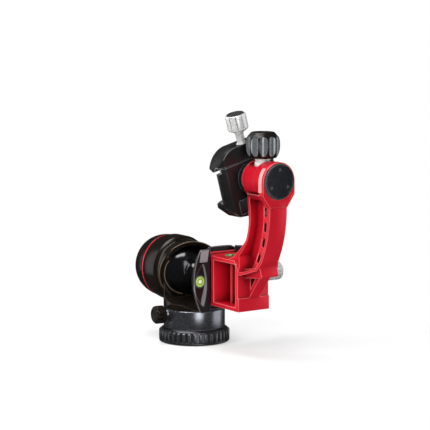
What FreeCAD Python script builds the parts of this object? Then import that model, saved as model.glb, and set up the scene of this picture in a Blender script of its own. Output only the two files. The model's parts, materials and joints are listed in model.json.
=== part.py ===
"""Side-mount gimbal tripod head: panning base, sideways ball head, quick-release
clamp, pocketed arm and tilting lens clamp.  Millimetres, +Z up, +Y along the lens,
+X outward along the tilt axis, origin on the pan axis at the tripod thread's mouth.
"""
import FreeCAD
import Part
import math
import os
from FreeCAD import Vector

# ---- fits -------------------------------------------------------------------
RUN = 0.05            # radial running clearance of a shaft in its bore
GAP = 0.4             # air between faces that pass each other
SEAT = 0.3            # gap at a seat that carries without pressing

# ---- panning base -----------------------------------------------------------
RING_R = 38.7         # tips of the grip ring's teeth
RING_TOOTH = 2.0      # depth of a tooth gap
RING_TEETH = 38
RING_RIM_H = 3.0      # plain rim under the teeth
RING_TEETH_H = 9.5
RING_H = 16.0
DRUM_R = 33.7
DRUM_H = 17.0
DRUM_INNER_R = 23.0
CORE_R = 30.0         # base plate, inside the ring
THREAD_R = 4.76       # 3/8 inch tripod thread
THREAD_DEPTH = 12.0
INSERT_R = 7.0
SPINDLE_R = 12.0
SPINDLE_FOOT_R = 20.0
SPINDLE_FOOT_H = 3.0
BRAKE_DRUM_R = 19.0   # spindle where the two pan screws press
NUT_R = 16.0
NUT_H = 3.5
WASHER_H = 0.6
BASE_SCREW_R = 1.5
BASE_SCREW_CIRCLE = 16.0
BASE_SCREW_L = 17.0
BASE_SCREWS = 4

# ---- turret: foot, barrel and ball socket -----------------------------------
FOOT_H = 3.5
BARREL_R = 36.5
BARREL_REAR = -56.0
BARREL_FRONT = -13.0
BARREL_Z = 76.0
COLLAR_R = 33.0
COLLAR_L = 9.0
BALL_R = 27.0
BALL_X = -21.0
VISOR_OUT = 18.0      # how far the collar reaches forward on its long side
VISOR_BACK = 7.0      # how far it is cut back on its short side
VISOR_WALL = 4.5
VISOR_TURN = 65.0     # its long side is this far round from the top
BALL_GAP = 0.3        # air round the ball, over its whole travel
CUP_WALL = 3.5
CUP_MOUTH = 9.0       # from the ball's centre back to the cup's rim
LOCK_KNOB_R = 34.8
LOCK_KNOB_L = 27.0
LOCK_FLUTES = 14
LOCK_SCREW_R = 5.0
ACCENT_R = 34.8
ACCENT_L = 1.6
BOSS_R = 29.5         # rear boss of the barrel, inside the lock knob's skirt
BOSS_L = 6.0

# ---- small knobs on the turret ----------------------------------------------
SMALL_KNOB_R = 9.8
SMALL_KNOB_L = 13.0
SMALL_KNOB_FLUTES = 10
SMALL_SCREW_R = 3.0
SMALL_STANDOFF = 2.5
SMALL_KNOB_Z = 31.6
SMALL_BOSS_R = 4.9
PAD_L = 2.0
PAN_KNOB_ANGLE = -97.0
FRICTION_KNOB_ANGLE = 118.0

# ---- stem and quick-release clamp -------------------------------------------
STEM_R = 9.5
STEM_NECK_R = 8.0
STEM_SCREW_R = 3.0
CLAMP_X = 26.0        # back of the clamp
CLAMP_BASE_L = 23.0   # back and floor of the dovetail channel
CLAMP_HALF_Y = 42.0
CLAMP_HALF_Z = 34.0
CLAMP_CORNER_Y = 33.0
CLAMP_BACK_R = 15.0
JAW_H = 12.0          # how far the jaws stand off the floor
DOVE_HALF = 19.0      # half width of the dovetail at its foot
DOVE_LEAN = 3.4       # how far the dovetail's flank leans in
DOVE_H = 5.0
CLAMP_SCREW_R = 3.0
CLAMP_KNOB_R = 10.0
CLAMP_KNOB_L = 24.0
CLAMP_NECK_R = 6.0
CLAMP_NECK_L = 16.0
CLAMP_BOSS_R = 7.5
JAW_SPLIT = 19.5      # Y of the split between the clamp's base and moving jaw
JAW_TRAVEL = 4.0
PIN_Z = 16.0          # clamp's guide pins, above and below its screw
PIN_END = 25.0
VIAL_R = 6.6
VIAL_H = 2.6
RECESS = 1.4          # depth of the sunk face round the clamp's level

# ---- arm --------------------------------------------------------------------
BOX_HALF = 20.0
BOX_X0 = 61.5
BOX_X1 = 111.0
BOX_Z0 = 49.5
BOX_Z1 = 103.0
BOX_WALL = 4.0
BOX_IN_X1 = 105.0     # end of the hollow
BAY_RIB_X = 79.5
BAY_RING_R = 17.0     # round rib round the web's bore, in the second bay
BAY_RING_Z = 79.0
ROOT_L = 30.0         # length over which the arm narrows out of the box
BAND_H = 14.0
BAND_STEP = 1.6
ARM_HALF = 11.0
ARM_FLANGE = 3.2
WEB_HALF = 2.0
LEDGE_HALF = 9.5
LEDGE_W = 9.0
HUB_Z = 190.0
HUB_R = 19.5
HUB_X0 = 115.0
HUB_X1 = 155.0
CAP_R = 18.8
PAD_R = 20.0          # raised pad over the hub, under the tension screw
PAD_X0 = 136.5
PAD_DROP = 7.0
BOSS_X0 = 147.0       # squarer end of the hub, blended into the neck
BOSS_HALF = 20.2
CAP_L = 4.0
CAP_OUT = 1.4

# ---- tilt shaft and its brake -----------------------------------------------
SHAFT_R = 8.0
BUSH_R = 10.5
BUSH_L = 5.5
BUSH_FLANGE_R = 13.0
BUSH_FLANGE_L = 1.5
TENSION_X = 126.0
TENSION_KNOB_R = 18.4
TENSION_KNOB_H = 27.0
TENSION_LOBES = 12
TENSION_COLLAR_R = 8.4
TENSION_COLLAR_H = 8.6
TENSION_SUNK = 5.8     # how deep the collar sits in the hub
TENSION_SCREW_R = 4.0
SHOE_R = 5.0
SHOE_H = 3.0

# ---- lens clamp, drawn upright about the tilt axis and then leaned back -----
LEAN = 15.0
LENS_X1 = 107.0       # face towards the arm
LENS_FLOOR = 97.0     # floor of the dovetail channel
LENS_X0 = 86.0        # tips of the jaws
LENS_HALF_Y = 36.0
LENS_BOTTOM = -38.0
LENS_TOP = 37.0
LENS_SPLIT = 19.6
LENS_CORNER = 11.0
LENS_BEVEL = 6.5
LENS_PIT_HALF = 22.0  # hollow in the back, under the flange
LENS_PIT_DEPTH = 4.0
FLANGE_R = 17.5
LENS_SCREW_R = 3.5
LENS_STEM_R = 4.4
LENS_STEM_L = 15.0
LENS_KNOB_R = 11.0
LENS_KNOB_L = 17.0
LENS_CAP_H = 2.4
GUIDE_R = 2.0
GUIDE_Y = 20.0
STOP_PIN_R = 1.6

X_AXIS = Vector(1, 0, 0)
Y_AXIS = Vector(0, 1, 0)
Z_AXIS = Vector(0, 0, 1)
TURRET_Z = RING_H + WASHER_H
DRUM_CEILING = TURRET_Z + DRUM_H
FOOT_TOP = DRUM_CEILING + FOOT_H
CLAMP_FLOOR = CLAMP_X + CLAMP_BASE_L
JAW_TOP = CLAMP_FLOOR + JAW_H
ARM_X0 = CLAMP_FLOOR + SEAT
HUB_CENTRE = Vector(0, 0, HUB_Z)


# ---- shape helpers ----------------------------------------------------------
def rod(radius, start, end):
    """Cylinder between two points."""
    path = end - start
    return Part.makeCylinder(radius, path.Length, start, path)


def tube(outer, inner, start, end):
    return rod(outer, start, end).cut(rod(inner, start, end))


def block(x0, x1, y0, y1, z0, z1):
    return Part.makeBox(x1 - x0, y1 - y0, z1 - z0, Vector(x0, y0, z0))


def along(shape, origin, axis):
    """Turn a shape drawn on +Z so that it points along axis from origin."""
    turned_shape = shape.copy()
    spin = FreeCAD.Rotation(Z_AXIS, axis)
    turned_shape.Placement = FreeCAD.Placement(origin, spin)
    return turned_shape


def turned(profile, origin, axis):
    """Solid of revolution; profile is a list of (radius, distance along axis)."""
    points = [Vector(r, 0, h) for r, h in profile]
    points.append(points[0])
    face = Part.Face(Part.makePolygon(points))
    return along(face.revolve(Vector(), Z_AXIS, 360), origin, axis)


def outline(steps, plane):
    """Closed face; a step is a point, or a pair (through, end) for an arc."""
    here = plane(*steps[0])
    first = here
    edges = []
    for step in steps[1:] + [steps[0]]:
        if isinstance(step[0], tuple):
            through = plane(*step[0])
            end = plane(*step[1])
            edges.append(Part.Arc(here, through, end).toShape())
        else:
            end = plane(*step)
            if end.distanceToPoint(here) < 1e-6:
                continue
            edges.append(Part.makeLine(here, end))
        here = end
    if here.distanceToPoint(first) > 1e-6:
        edges.append(Part.makeLine(here, first))
    return Part.Face(Part.Wire(edges))


def slab_xz(steps, y0, y1):
    face = outline(steps, lambda x, z: Vector(x, y0, z))
    return face.extrude(Vector(0, y1 - y0, 0))


def slab_yz(steps, x0, x1):
    face = outline(steps, lambda y, z: Vector(x0, y, z))
    return face.extrude(Vector(x1 - x0, 0, 0))


def lobed(radius, height, count, cut_radius, depth):
    """Knob blank on +Z with scallops cut round its edge."""
    blank = Part.makeCylinder(radius, height)
    reach = radius + cut_radius - depth
    for index in range(count):
        angle = 2 * math.pi * index / count
        centre = Vector(reach * math.cos(angle), reach * math.sin(angle), -1)
        blank = blank.cut(Part.makeCylinder(cut_radius, height + 2, centre))
    return blank


def polar(radius, degrees, z):
    angle = math.radians(degrees)
    return Vector(radius * math.cos(angle), radius * math.sin(angle), z)


def leaned(shape):
    """Lean a lens-clamp piece back about the tilt axis."""
    copy = shape.copy()
    copy.rotate(HUB_CENTRE, X_AXIS, LEAN)
    return copy


# ---- panning base -----------------------------------------------------------
def grip_ring():
    root = RING_R - RING_TOOTH
    tooth_top = RING_RIM_H + RING_TEETH_H
    body = turned([(CORE_R, 0), (RING_R - 1, 0), (RING_R, 1), (RING_R, tooth_top),
                   (DRUM_R, RING_H), (CORE_R, RING_H)], Vector(), Z_AXIS)
    pitch = 2 * math.pi / RING_TEETH
    half = math.pi * RING_R / RING_TEETH / 2
    tooth_gap = block(root, RING_R + 2, -half, half, RING_RIM_H, RING_H + 1)
    for index in range(RING_TEETH):
        notch = tooth_gap.copy()
        notch.rotate(Vector(), Z_AXIS, math.degrees(index * pitch))
        body = body.cut(notch)
    return body


def screw_places():
    step = 360.0 / BASE_SCREWS
    return [polar(BASE_SCREW_CIRCLE, 45 + step * index, 0) for index in range(BASE_SCREWS)]


def base_plate():
    body = Part.makeCylinder(CORE_R, RING_H)
    body = body.cut(Part.makeCylinder(INSERT_R, THREAD_DEPTH))
    return drill_base(body)


def drill_base(body):
    for place in screw_places():
        body = body.cut(rod(BASE_SCREW_R, place - Z_AXIS, place + Z_AXIS * (BASE_SCREW_L + 1.5)))
        body = body.cut(rod(2 * BASE_SCREW_R, place - Z_AXIS, place + Z_AXIS * RING_RIM_H))
    return body


def thread_insert():
    return tube(INSERT_R, THREAD_R, Vector(), Z_AXIS * THREAD_DEPTH)


def base_drum():
    """Plain drum under the turret, closed on top by its own web."""
    body = turned([(SPINDLE_R + RUN, FOOT_TOP), (SPINDLE_R + RUN, DRUM_CEILING), (DRUM_INNER_R, DRUM_CEILING),
                   (DRUM_INNER_R, TURRET_Z), (DRUM_R, TURRET_Z), (DRUM_R, FOOT_TOP - 1),
                   (DRUM_R - 1, FOOT_TOP)], Vector(), Z_AXIS)
    for angle in (PAN_KNOB_ANGLE, FRICTION_KNOB_ANGLE):
        body = body.fuse(knob_boss(angle))
        body = body.cut(knob_bore(angle))
    return body


def base_screws():
    solids = []
    for place in screw_places():
        shank = rod(BASE_SCREW_R, place + Z_AXIS * (RING_RIM_H - 1), place + Z_AXIS * (BASE_SCREW_L + 1))
        head = rod(2 * BASE_SCREW_R, place + Z_AXIS * 0.5, place + Z_AXIS * RING_RIM_H)
        solids.append(shank.fuse(head))
    return solids


def pan_spindle():
    """Axle of the pan motion, with a wide drum where the side screws press."""
    top = FOOT_TOP + GAP + NUT_H
    shelf = DRUM_CEILING - GAP
    body = turned([(0, RING_H), (SPINDLE_FOOT_R, RING_H), (SPINDLE_FOOT_R, RING_H + SPINDLE_FOOT_H),
                   (BRAKE_DRUM_R, RING_H + SPINDLE_FOOT_H), (BRAKE_DRUM_R, shelf),
                   (SPINDLE_R, shelf), (SPINDLE_R, top), (0, top)], Vector(), Z_AXIS)
    return drill_base(body)


def spindle_nut():
    low = FOOT_TOP + GAP
    return tube(NUT_R, SPINDLE_R, Z_AXIS * low, Z_AXIS * (low + NUT_H))


def pan_washer():
    return tube(DRUM_R - 2, DRUM_INNER_R, Z_AXIS * RING_H, Z_AXIS * TURRET_Z)


# ---- turret -----------------------------------------------------------------
def barrel_at(x):
    return Vector(x, 0, BARREL_Z)


def ball_centre():
    return Vector(BALL_X, 0, BARREL_Z)


def cup_back():
    return BALL_X - BALL_R - CUP_WALL


def turret_housing():
    """Round pedestal with a sloping apron, and the sideways barrel."""
    crown = BARREL_Z - 10
    column = turned([(0, FOOT_TOP), (DRUM_R - 1, FOOT_TOP), (DRUM_R, FOOT_TOP + 1), (DRUM_R, crown),
                     (0, crown)], Vector(), Z_AXIS)
    apron = FOOT_TOP + GAP + NUT_H + 3
    front = slab_xz([(BARREL_FRONT, crown + 1), (BARREL_FRONT, apron + 6),
                     ((BARREL_FRONT + 12, apron + 1.5), (NUT_R + 1, apron)),
                     (DRUM_R - 2, FOOT_TOP), (DRUM_R + 9, FOOT_TOP), (DRUM_R + 9, crown + 1)],
                    -DRUM_R - 1, DRUM_R + 1)
    column = column.cut(front)
    length = BARREL_FRONT - BARREL_REAR
    barrel = turned([(0, 0), (BOSS_R, 0), (BOSS_R, BOSS_L), (ACCENT_R, BOSS_L), (BARREL_R - 1, BOSS_L + 2),
                     (BARREL_R, BOSS_L + 8), (BARREL_R, length - 13), (BARREL_R - 2, length - 10),
                     (COLLAR_R, length - COLLAR_L), (0, length - COLLAR_L)], barrel_at(BARREL_REAR), X_AXIS)
    body = column.fuse(barrel).removeSplitter()
    chamber = rod(BALL_R + BALL_GAP, barrel_at(cup_back() - GAP), barrel_at(BARREL_FRONT + 30))
    body = body.cut(chamber)
    body = body.cut(rod(COLLAR_R, barrel_at(BARREL_FRONT - COLLAR_L), barrel_at(BARREL_FRONT + 4)))
    body = body.cut(rod(LOCK_SCREW_R + RUN, barrel_at(BARREL_REAR - 1), barrel_at(BALL_X)))
    nut_room = FOOT_TOP + 2 * GAP + NUT_H
    return body.cut(rod(NUT_R + GAP, Z_AXIS * FOOT_TOP, Z_AXIS * nut_room))


def knob_line(radius, angle):
    return polar(radius, angle, SMALL_KNOB_Z)


def knob_boss(angle):
    return rod(SMALL_BOSS_R, knob_line(DRUM_INNER_R + 2, angle), knob_line(DRUM_R + SMALL_STANDOFF, angle))


def knob_bore(angle):
    return rod(SMALL_SCREW_R + RUN, knob_line(BRAKE_DRUM_R, angle), knob_line(DRUM_R + 9, angle))


def pan_brake_pads():
    pads = []
    for angle in (PAN_KNOB_ANGLE, FRICTION_KNOB_ANGLE):
        pads.append(rod(SMALL_SCREW_R - 0.1, knob_line(BRAKE_DRUM_R + SEAT, angle),
                        knob_line(BRAKE_DRUM_R + SEAT + PAD_L, angle)))
    return pads


def small_knob(angle):
    start = knob_line(DRUM_R + SMALL_STANDOFF + GAP, angle)
    grip = lobed(SMALL_KNOB_R, SMALL_KNOB_L, SMALL_KNOB_FLUTES, 2.2, 1.1)
    edge = turned([(0, 0), (SMALL_KNOB_R - 2.5, 0), (SMALL_KNOB_R, 2), (SMALL_KNOB_R, SMALL_KNOB_L - 2),
                   (SMALL_KNOB_R - 2, SMALL_KNOB_L), (0, SMALL_KNOB_L)], Vector(), Z_AXIS)
    body = along(grip.common(edge), start, polar(1, angle, 0))
    return body.cut(knob_shank(angle))


def knob_shank(angle):
    return rod(SMALL_SCREW_R, knob_line(BRAKE_DRUM_R + SEAT + PAD_L + 0.1, angle),
               knob_line(DRUM_R + SMALL_STANDOFF + GAP + SMALL_KNOB_L - 4, angle))


def front_collar():
    """Screwed ring whose lip keeps the ball in, cut off at a slant into a visor."""
    start = BARREL_FRONT - COLLAR_L
    ring = turned([(BALL_R - 6, 0), (COLLAR_R, 0), (COLLAR_R, COLLAR_L - 1.5),
                   (COLLAR_R - 1.5, COLLAR_L), (BALL_R - 1.5, COLLAR_L), (BALL_R - 2.5, COLLAR_L - 1)],
                  barrel_at(start), X_AXIS)
    tip = barrel_at(BARREL_FRONT + VISOR_OUT)
    visor = tube(COLLAR_R, COLLAR_R - VISOR_WALL, barrel_at(BARREL_FRONT - 2), tip)
    reach = 2 * COLLAR_R
    below = block(BARREL_FRONT + 2, BARREL_FRONT + reach, -reach, reach, 0, BARREL_Z - 20)
    cutter = block(0, 4 * reach, -2 * reach, 2 * reach, -2 * reach, 2 * reach)
    cutter.rotate(Vector(), Y_AXIS, math.degrees(math.atan2(VISOR_OUT + VISOR_BACK, reach)))
    cutter.rotate(Vector(), X_AXIS, -VISOR_TURN)
    cutter.translate(barrel_at(BARREL_FRONT + (VISOR_OUT - VISOR_BACK) / 2))
    ring = ring.fuse(visor.cut(below)).cut(cutter)
    return ring.cut(Part.makeSphere(BALL_R + BALL_GAP, ball_centre()))


def ball_cup():
    """Cup that the lock screw drives against the back of the ball."""
    blank = rod(BALL_R - 0.2, barrel_at(cup_back()), barrel_at(BALL_X - CUP_MOUTH))
    return blank.cut(Part.makeSphere(BALL_R + BALL_GAP, ball_centre()))


def accent_ring():
    front = BARREL_REAR + BOSS_L
    return tube(ACCENT_R, BOSS_R + SEAT, barrel_at(front - ACCENT_L), barrel_at(front))


def ball_lock_knob():
    """Egg-shaped knob whose skirt covers the barrel's rear boss."""
    start = barrel_at(BARREL_REAR + BOSS_L - ACCENT_L - GAP)
    r = LOCK_KNOB_R
    grip = lobed(r, LOCK_KNOB_L, LOCK_FLUTES, 4.0, 0.8)
    dome = turned([(0, 0), (r - 1, 0), (r, 1), (r - 0.3, 6), (r - 1.8, 14), (r - 3.8, 20), (r - 7.8, 25),
                   (r - 12.8, LOCK_KNOB_L), (0, LOCK_KNOB_L)], Vector(), Z_AXIS)
    body = along(grip.common(dome), start, X_AXIS * -1)
    body = body.cut(rod(BOSS_R + GAP, barrel_at(BARREL_REAR - GAP), barrel_at(BARREL_REAR + BOSS_L)))
    return body.cut(ball_lock_screw())


def ball_lock_screw():
    return rod(LOCK_SCREW_R, barrel_at(BARREL_REAR - 14), barrel_at(cup_back() - GAP))


# ---- ball stem and quick-release clamp --------------------------------------
def ball_stem():
    ball = Part.makeSphere(BALL_R, ball_centre())
    flat = block(BALL_X + BALL_R - 3, BALL_X + BALL_R + 3, -BALL_R, BALL_R,
                 BARREL_Z - BALL_R, BARREL_Z + BALL_R)
    stem = turned([(0, 0), (STEM_R + 3, 0), (STEM_NECK_R, 5), (STEM_NECK_R, 12),
                   (STEM_R + 2, CLAMP_X - BALL_X - BALL_R + 3.5), (0, CLAMP_X - BALL_X - BALL_R + 3.5)],
                  barrel_at(BALL_X + BALL_R - 3.5), X_AXIS)
    peg = rod(STEM_NECK_R, barrel_at(CLAMP_X - 1), barrel_at(CLAMP_X + 8))
    body = ball.cut(flat).fuse(stem).fuse(peg)
    return body.cut(rod(STEM_SCREW_R + RUN, barrel_at(CLAMP_X - 12), barrel_at(CLAMP_X + 9)))


def dovetail(half, height, lean, x_floor, z0, z1):
    """Solid trapezoid on the channel floor, widest at its foot, along Z."""
    steps = [(x_floor, -half), (x_floor, half), (x_floor + height, half - lean),
             (x_floor + height, -half + lean)]
    face = outline(steps, lambda x, y: Vector(x, y, z0))
    return face.extrude(Vector(0, 0, z1 - z0))


def clamp_side():
    """Front view of the clamp: bowed ends and flat top and bottom."""
    low = BARREL_Z - CLAMP_HALF_Z
    high = BARREL_Z + CLAMP_HALF_Z
    corner = CLAMP_CORNER_Y
    return [(-corner, low), (corner, low), ((CLAMP_HALF_Y, BARREL_Z), (corner, high)), (-corner, high),
            ((-CLAMP_HALF_Y, BARREL_Z), (-corner, low))]


def clamp_blank():
    """Clamp with a thin rim, its back drawn in to the stem as a bowl."""
    slab = slab_yz(clamp_side(), CLAMP_X, JAW_TOP)
    reach = math.hypot(CLAMP_CORNER_Y, CLAMP_HALF_Z) + 1
    depth = JAW_TOP - CLAMP_X
    bowl = turned([(0, 0), (CLAMP_BACK_R, 0), (CLAMP_HALF_Y - 6, depth - 14), (CLAMP_HALF_Y, depth - 3),
                   (reach, depth - 1.2), (reach, depth - 0.8), (reach - 0.8, depth), (0, depth)],
                  barrel_at(CLAMP_X), X_AXIS)
    return slab.common(bowl)


def channel():
    """The dovetail space between the two jaws, with room above it."""
    z0 = BARREL_Z - CLAMP_HALF_Z - 1
    z1 = BARREL_Z + CLAMP_HALF_Z + 1
    room = dovetail(DOVE_HALF + SEAT, DOVE_H, DOVE_LEAN, CLAMP_FLOOR, z0, z1)
    mouth = DOVE_HALF + SEAT - DOVE_LEAN
    flare = outline([(CLAMP_FLOOR + DOVE_H, -mouth), (CLAMP_FLOOR + DOVE_H, mouth),
                     (JAW_TOP + 1, mouth + 6), (JAW_TOP + 1, -mouth - 6)],
                    lambda x, y: Vector(x, y, z0)).extrude(Vector(0, 0, z1 - z0))
    return room.fuse(flare)


def jaw_zone(y, x=CLAMP_X - 1):
    """Everything beyond a plane across Y, from a chosen depth outward."""
    return block(x, JAW_TOP + 1, y, CLAMP_HALF_Y + 9, BARREL_Z - CLAMP_HALF_Z - 1, BARREL_Z + CLAMP_HALF_Z + 1)


def clamp_base():
    body = clamp_blank().cut(channel())
    body = body.cut(jaw_zone(JAW_SPLIT)).cut(jaw_zone(0, CLAMP_FLOOR))
    body = body.cut(rod(STEM_NECK_R + RUN, barrel_at(CLAMP_X - 1), barrel_at(CLAMP_X + 8)))
    body = body.cut(rod(STEM_SCREW_R, barrel_at(CLAMP_X), barrel_at(CLAMP_FLOOR + 1)))
    body = body.cut(rod(2 * STEM_SCREW_R, barrel_at(CLAMP_FLOOR - 5), barrel_at(CLAMP_FLOOR + 1)))
    body = body.cut(lens_recess())
    body = body.cut(vial_seat(clamp_vial_place(), X_AXIS))
    inner = clamp_screw_line(2 * STEM_SCREW_R + 1)
    body = body.cut(rod(CLAMP_SCREW_R + RUN, inner, clamp_screw_line(JAW_SPLIT + 1)))
    for side in (-1, 1):
        body = body.cut(rod(GUIDE_R, guide_line(side, 0), guide_line(side, JAW_SPLIT + 1)))
    return body


def lens_recess():
    """Lens-shaped hollow sunk in the fixed jaw's face, beside the channel."""
    near = -CLAMP_HALF_Y + 1.4
    far = -CLAMP_HALF_Y + 16.2
    tip = -CLAMP_CORNER_Y + 3
    low = BARREL_Z - 27
    high = BARREL_Z + 19
    middle = (low + high) / 2
    face = outline([(tip, low), ((near, middle), (tip, high)), ((far, middle), (tip, low))],
                   lambda y, z: Vector(JAW_TOP - RECESS, y, z))
    return face.extrude(Vector(5, 0, 0))


def clamp_screw_line(y):
    return Vector(CLAMP_FLOOR - 4.5, y, BARREL_Z - 0.5)


def guide_line(side, y):
    return Vector(CLAMP_FLOOR - 4.5, y, BARREL_Z + side * PIN_Z)


def clamp_jaw():
    """Moving jaw, split from the base beside the channel, with a boss for its screw."""
    play = GAP + JAW_TRAVEL / 8
    blank = clamp_blank().cut(channel())
    zone = jaw_zone(JAW_SPLIT + play).fuse(jaw_zone(DOVE_HALF - DOVE_LEAN, CLAMP_FLOOR + GAP))
    boss = rod(CLAMP_BOSS_R, clamp_screw_line(JAW_SPLIT + play), clamp_screw_line(CLAMP_HALF_Y))
    boss = boss.common(jaw_zone(JAW_SPLIT + play))
    body = blank.common(zone).fuse(boss)
    body = body.cut(rod(CLAMP_SCREW_R + RUN, clamp_screw_line(0), clamp_screw_line(CLAMP_HALF_Y + 1)))
    for side in (-1, 1):
        body = body.cut(rod(GUIDE_R + RUN, guide_line(side, JAW_SPLIT - 1), guide_line(side, PIN_END + 1)))
    return body


def clamp_guide_pins():
    return [rod(GUIDE_R, guide_line(side, 2), guide_line(side, PIN_END)) for side in (-1, 1)]


def clamp_screw():
    inner = clamp_screw_line(2 * STEM_SCREW_R + 2)
    return rod(CLAMP_SCREW_R, inner, clamp_screw_line(knob_start() + CLAMP_NECK_L + 4))


def knob_start():
    return CLAMP_HALF_Y + SEAT


def clamp_knob():
    """Bright knob that stands off the jaw on a neck."""
    low = CLAMP_NECK_L
    high = CLAMP_NECK_L + CLAMP_KNOB_L
    shape = turned([(0, 0), (CLAMP_NECK_R, 0), (CLAMP_NECK_R, low - 2), (CLAMP_KNOB_R - 1.5, low),
                    (CLAMP_KNOB_R, low + 1.5), (CLAMP_KNOB_R, high - 1.5), (CLAMP_KNOB_R - 1.5, high), (0, high)],
                   clamp_screw_line(knob_start()), Y_AXIS)
    return shape.cut(clamp_screw())


def stem_screw():
    head = rod(2 * STEM_SCREW_R - RUN, barrel_at(CLAMP_FLOOR - 5), barrel_at(CLAMP_FLOOR - 1))
    shank = rod(STEM_SCREW_R, barrel_at(CLAMP_X - 9), barrel_at(CLAMP_FLOOR - 4))
    socket = along(hexagon(5.0, 3), barrel_at(CLAMP_FLOOR - 3), X_AXIS)
    return head.fuse(shank).cut(socket)


def hexagon(flats, height):
    radius = flats / math.sqrt(3)
    points = [polar(radius, 60 * index, 0) for index in range(7)]
    return Part.Face(Part.makePolygon(points)).extrude(Vector(0, 0, height))


def clamp_vial_place():
    return Vector(JAW_TOP - RECESS, -CLAMP_HALF_Y + 8.5, BARREL_Z)


def vial_seat(place, axis):
    return along(Part.makeCylinder(VIAL_R, 20, Vector(0, 0, -VIAL_H)), place, axis)


def vial_cup(place, axis):
    """Metal dish of a round spirit level."""
    dish = turned([(0, -VIAL_H), (VIAL_R, -VIAL_H), (VIAL_R, 0.5), (VIAL_R - 0.4, 0.9),
                   (VIAL_R - 1, 0.9), (VIAL_R - 1, -VIAL_H + 0.8), (0, -VIAL_H + 0.8)],
                  Vector(), Z_AXIS)
    return along(dish, place, axis)


def vial_glass(place, axis):
    glass = turned([(0, -VIAL_H + 0.8), (VIAL_R - 1, -VIAL_H + 0.8), (VIAL_R - 1, 0.4),
                    (VIAL_R - 2.6, 0.8), (0, 1.0)], Vector(), Z_AXIS)
    return along(glass, place, axis)


# ---- arm --------------------------------------------------------------------
def arm_side():
    """Side view of the arm's frame: root inside the box's corner, neck under the hub."""
    return [(BOX_IN_X1, 88.5), (BOX_IN_X1, BOX_Z1 - 2), (88, BOX_Z1 - 2), (97, BOX_Z1 + 2.5),
            ((110, 122), (116.8, HUB_Z - 44)), (115, HUB_Z - 22), (115.5, HUB_Z - 14),
            (154, HUB_Z - 14), (153.5, HUB_Z - 30), ((150.5, HUB_Z - 56), (136, 99)),
            (134.2, 95.6), (113, 88.5)]


def pocket_side():
    """Side view of the pocket: the frame's outline drawn in by the flange."""
    w = ARM_FLANGE
    return [(106.8 + w, 88.5 + w), (105.8 + w, 100), (102.8 + w, 108),
            ((110.3 + w, 123), (116.8 + w, HUB_Z - 44)), (115.3 + w, HUB_Z - 22), (115.8 + w, HUB_Z - 14),
            (153.2 - w, HUB_Z - 14), (153.2 - w, HUB_Z - 30), ((150.5 - w, HUB_Z - 56), (136.2 - w, 100)),
            (134.2 - w, 97), (109.8 + w, 88.5 + w)]


def side_air(side):
    """Air beside the arm: it narrows from the box to the neck and widens to the hub."""
    narrow = ARM_HALF * side
    wide = BOX_HALF * side
    clear = (BOX_HALF + 11) * side
    along_root = Vector(0.6, 0, 0.8)
    across_root = Vector(0.8, 0, -0.6)
    corner = Vector(BOX_IN_X1, 0, BOX_Z1 - 11)
    steps = [(0, wide), (ROOT_L, narrow), (170, narrow), (170, clear), (0, clear)]
    root = outline(steps, lambda t, y: corner + along_root * t + Y_AXIS * y - across_root * 120)
    root = root.extrude(across_root * 240)
    upper = slab_yz([(narrow, 30), (narrow, HUB_Z - 27), (wide, HUB_Z - 14), (wide, HUB_Z + 30),
                     (clear, HUB_Z + 30), (clear, 30)], 50, 190)
    return root.common(upper)


def arm_spur():
    """Overhanging toe and the sloping gusset under it, with its window."""
    toe = slab_xz([(BOX_X1 - 2, 94), (136, 99), (139.5, 90), (138, 88), (BOX_X1 - 2, 84.5)],
                  -ARM_HALF, ARM_HALF)
    gusset = slab_xz([(BOX_X1 - 2, 86), (132, 88.5), (BOX_X1 + 1, 63), (BOX_X1 - 2, 63)], -7, 7)
    window = slab_xz([(BOX_X1 + 3.5, 84.5), (123.5, 85.5), (BOX_X1 + 3.5, 72.5)], -9, 9)
    return toe.fuse(gusset).cut(window)


def arm_pockets():
    """Deep pocket each side, with a shallower holed ledge by the outer face."""
    inner = slab_xz(pocket_side(), -BOX_HALF - 1, BOX_HALF + 1)
    inner = inner.cut(rod(HUB_R + 3, hub_line(HUB_X0 - 9), hub_line(HUB_X1 + 9)))
    edge = ARM_FLANGE + LEDGE_W
    ledge_side = [(153.2 - edge, HUB_Z - 10), (170, HUB_Z - 10), (170, 80), (131 - edge, 80), (134.2 - edge, 97),
                  (136.2 - edge, 100), ((150.5 - edge, HUB_Z - 56), (153.2 - edge, HUB_Z - 30))]
    ledge_zone = slab_xz(ledge_side, -BOX_HALF - 1, BOX_HALF + 1)
    pockets = []
    for side in (-1, 1):
        far = side * (BOX_HALF + 2)
        web_room = block(60, 170, min(side * WEB_HALF, far), max(side * WEB_HALF, far), 60, HUB_Z)
        ledge_room = block(60, 170, min(side * LEDGE_HALF, far), max(side * LEDGE_HALF, far), 60, HUB_Z)
        pockets.append(inner.cut(ledge_zone).common(web_room))
        pockets.append(inner.common(ledge_zone).common(ledge_room))
    return pockets


def arm_holes():
    """Four slanting slots through the ledge."""
    places = [(144.2, HUB_Z - 32, 2), (143.6, HUB_Z - 48, 6), (140.8, 125.5, 13), (132.6, 108, 22)]
    slots = []
    for x, z, slant in places:
        ends = []
        slot = block(-2.1, 2.1, -20, 20, -3.2, 3.2)
        for shift in (-3.2, 3.2):
            ends.append(rod(2.1, Vector(0, -20, shift), Vector(0, 20, shift)))
        slot = slot.fuse(ends)
        slot.rotate(Vector(), Y_AXIS, slant)
        slot.translate(Vector(x, 0, z))
        slots.append(slot)
    return slots


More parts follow.
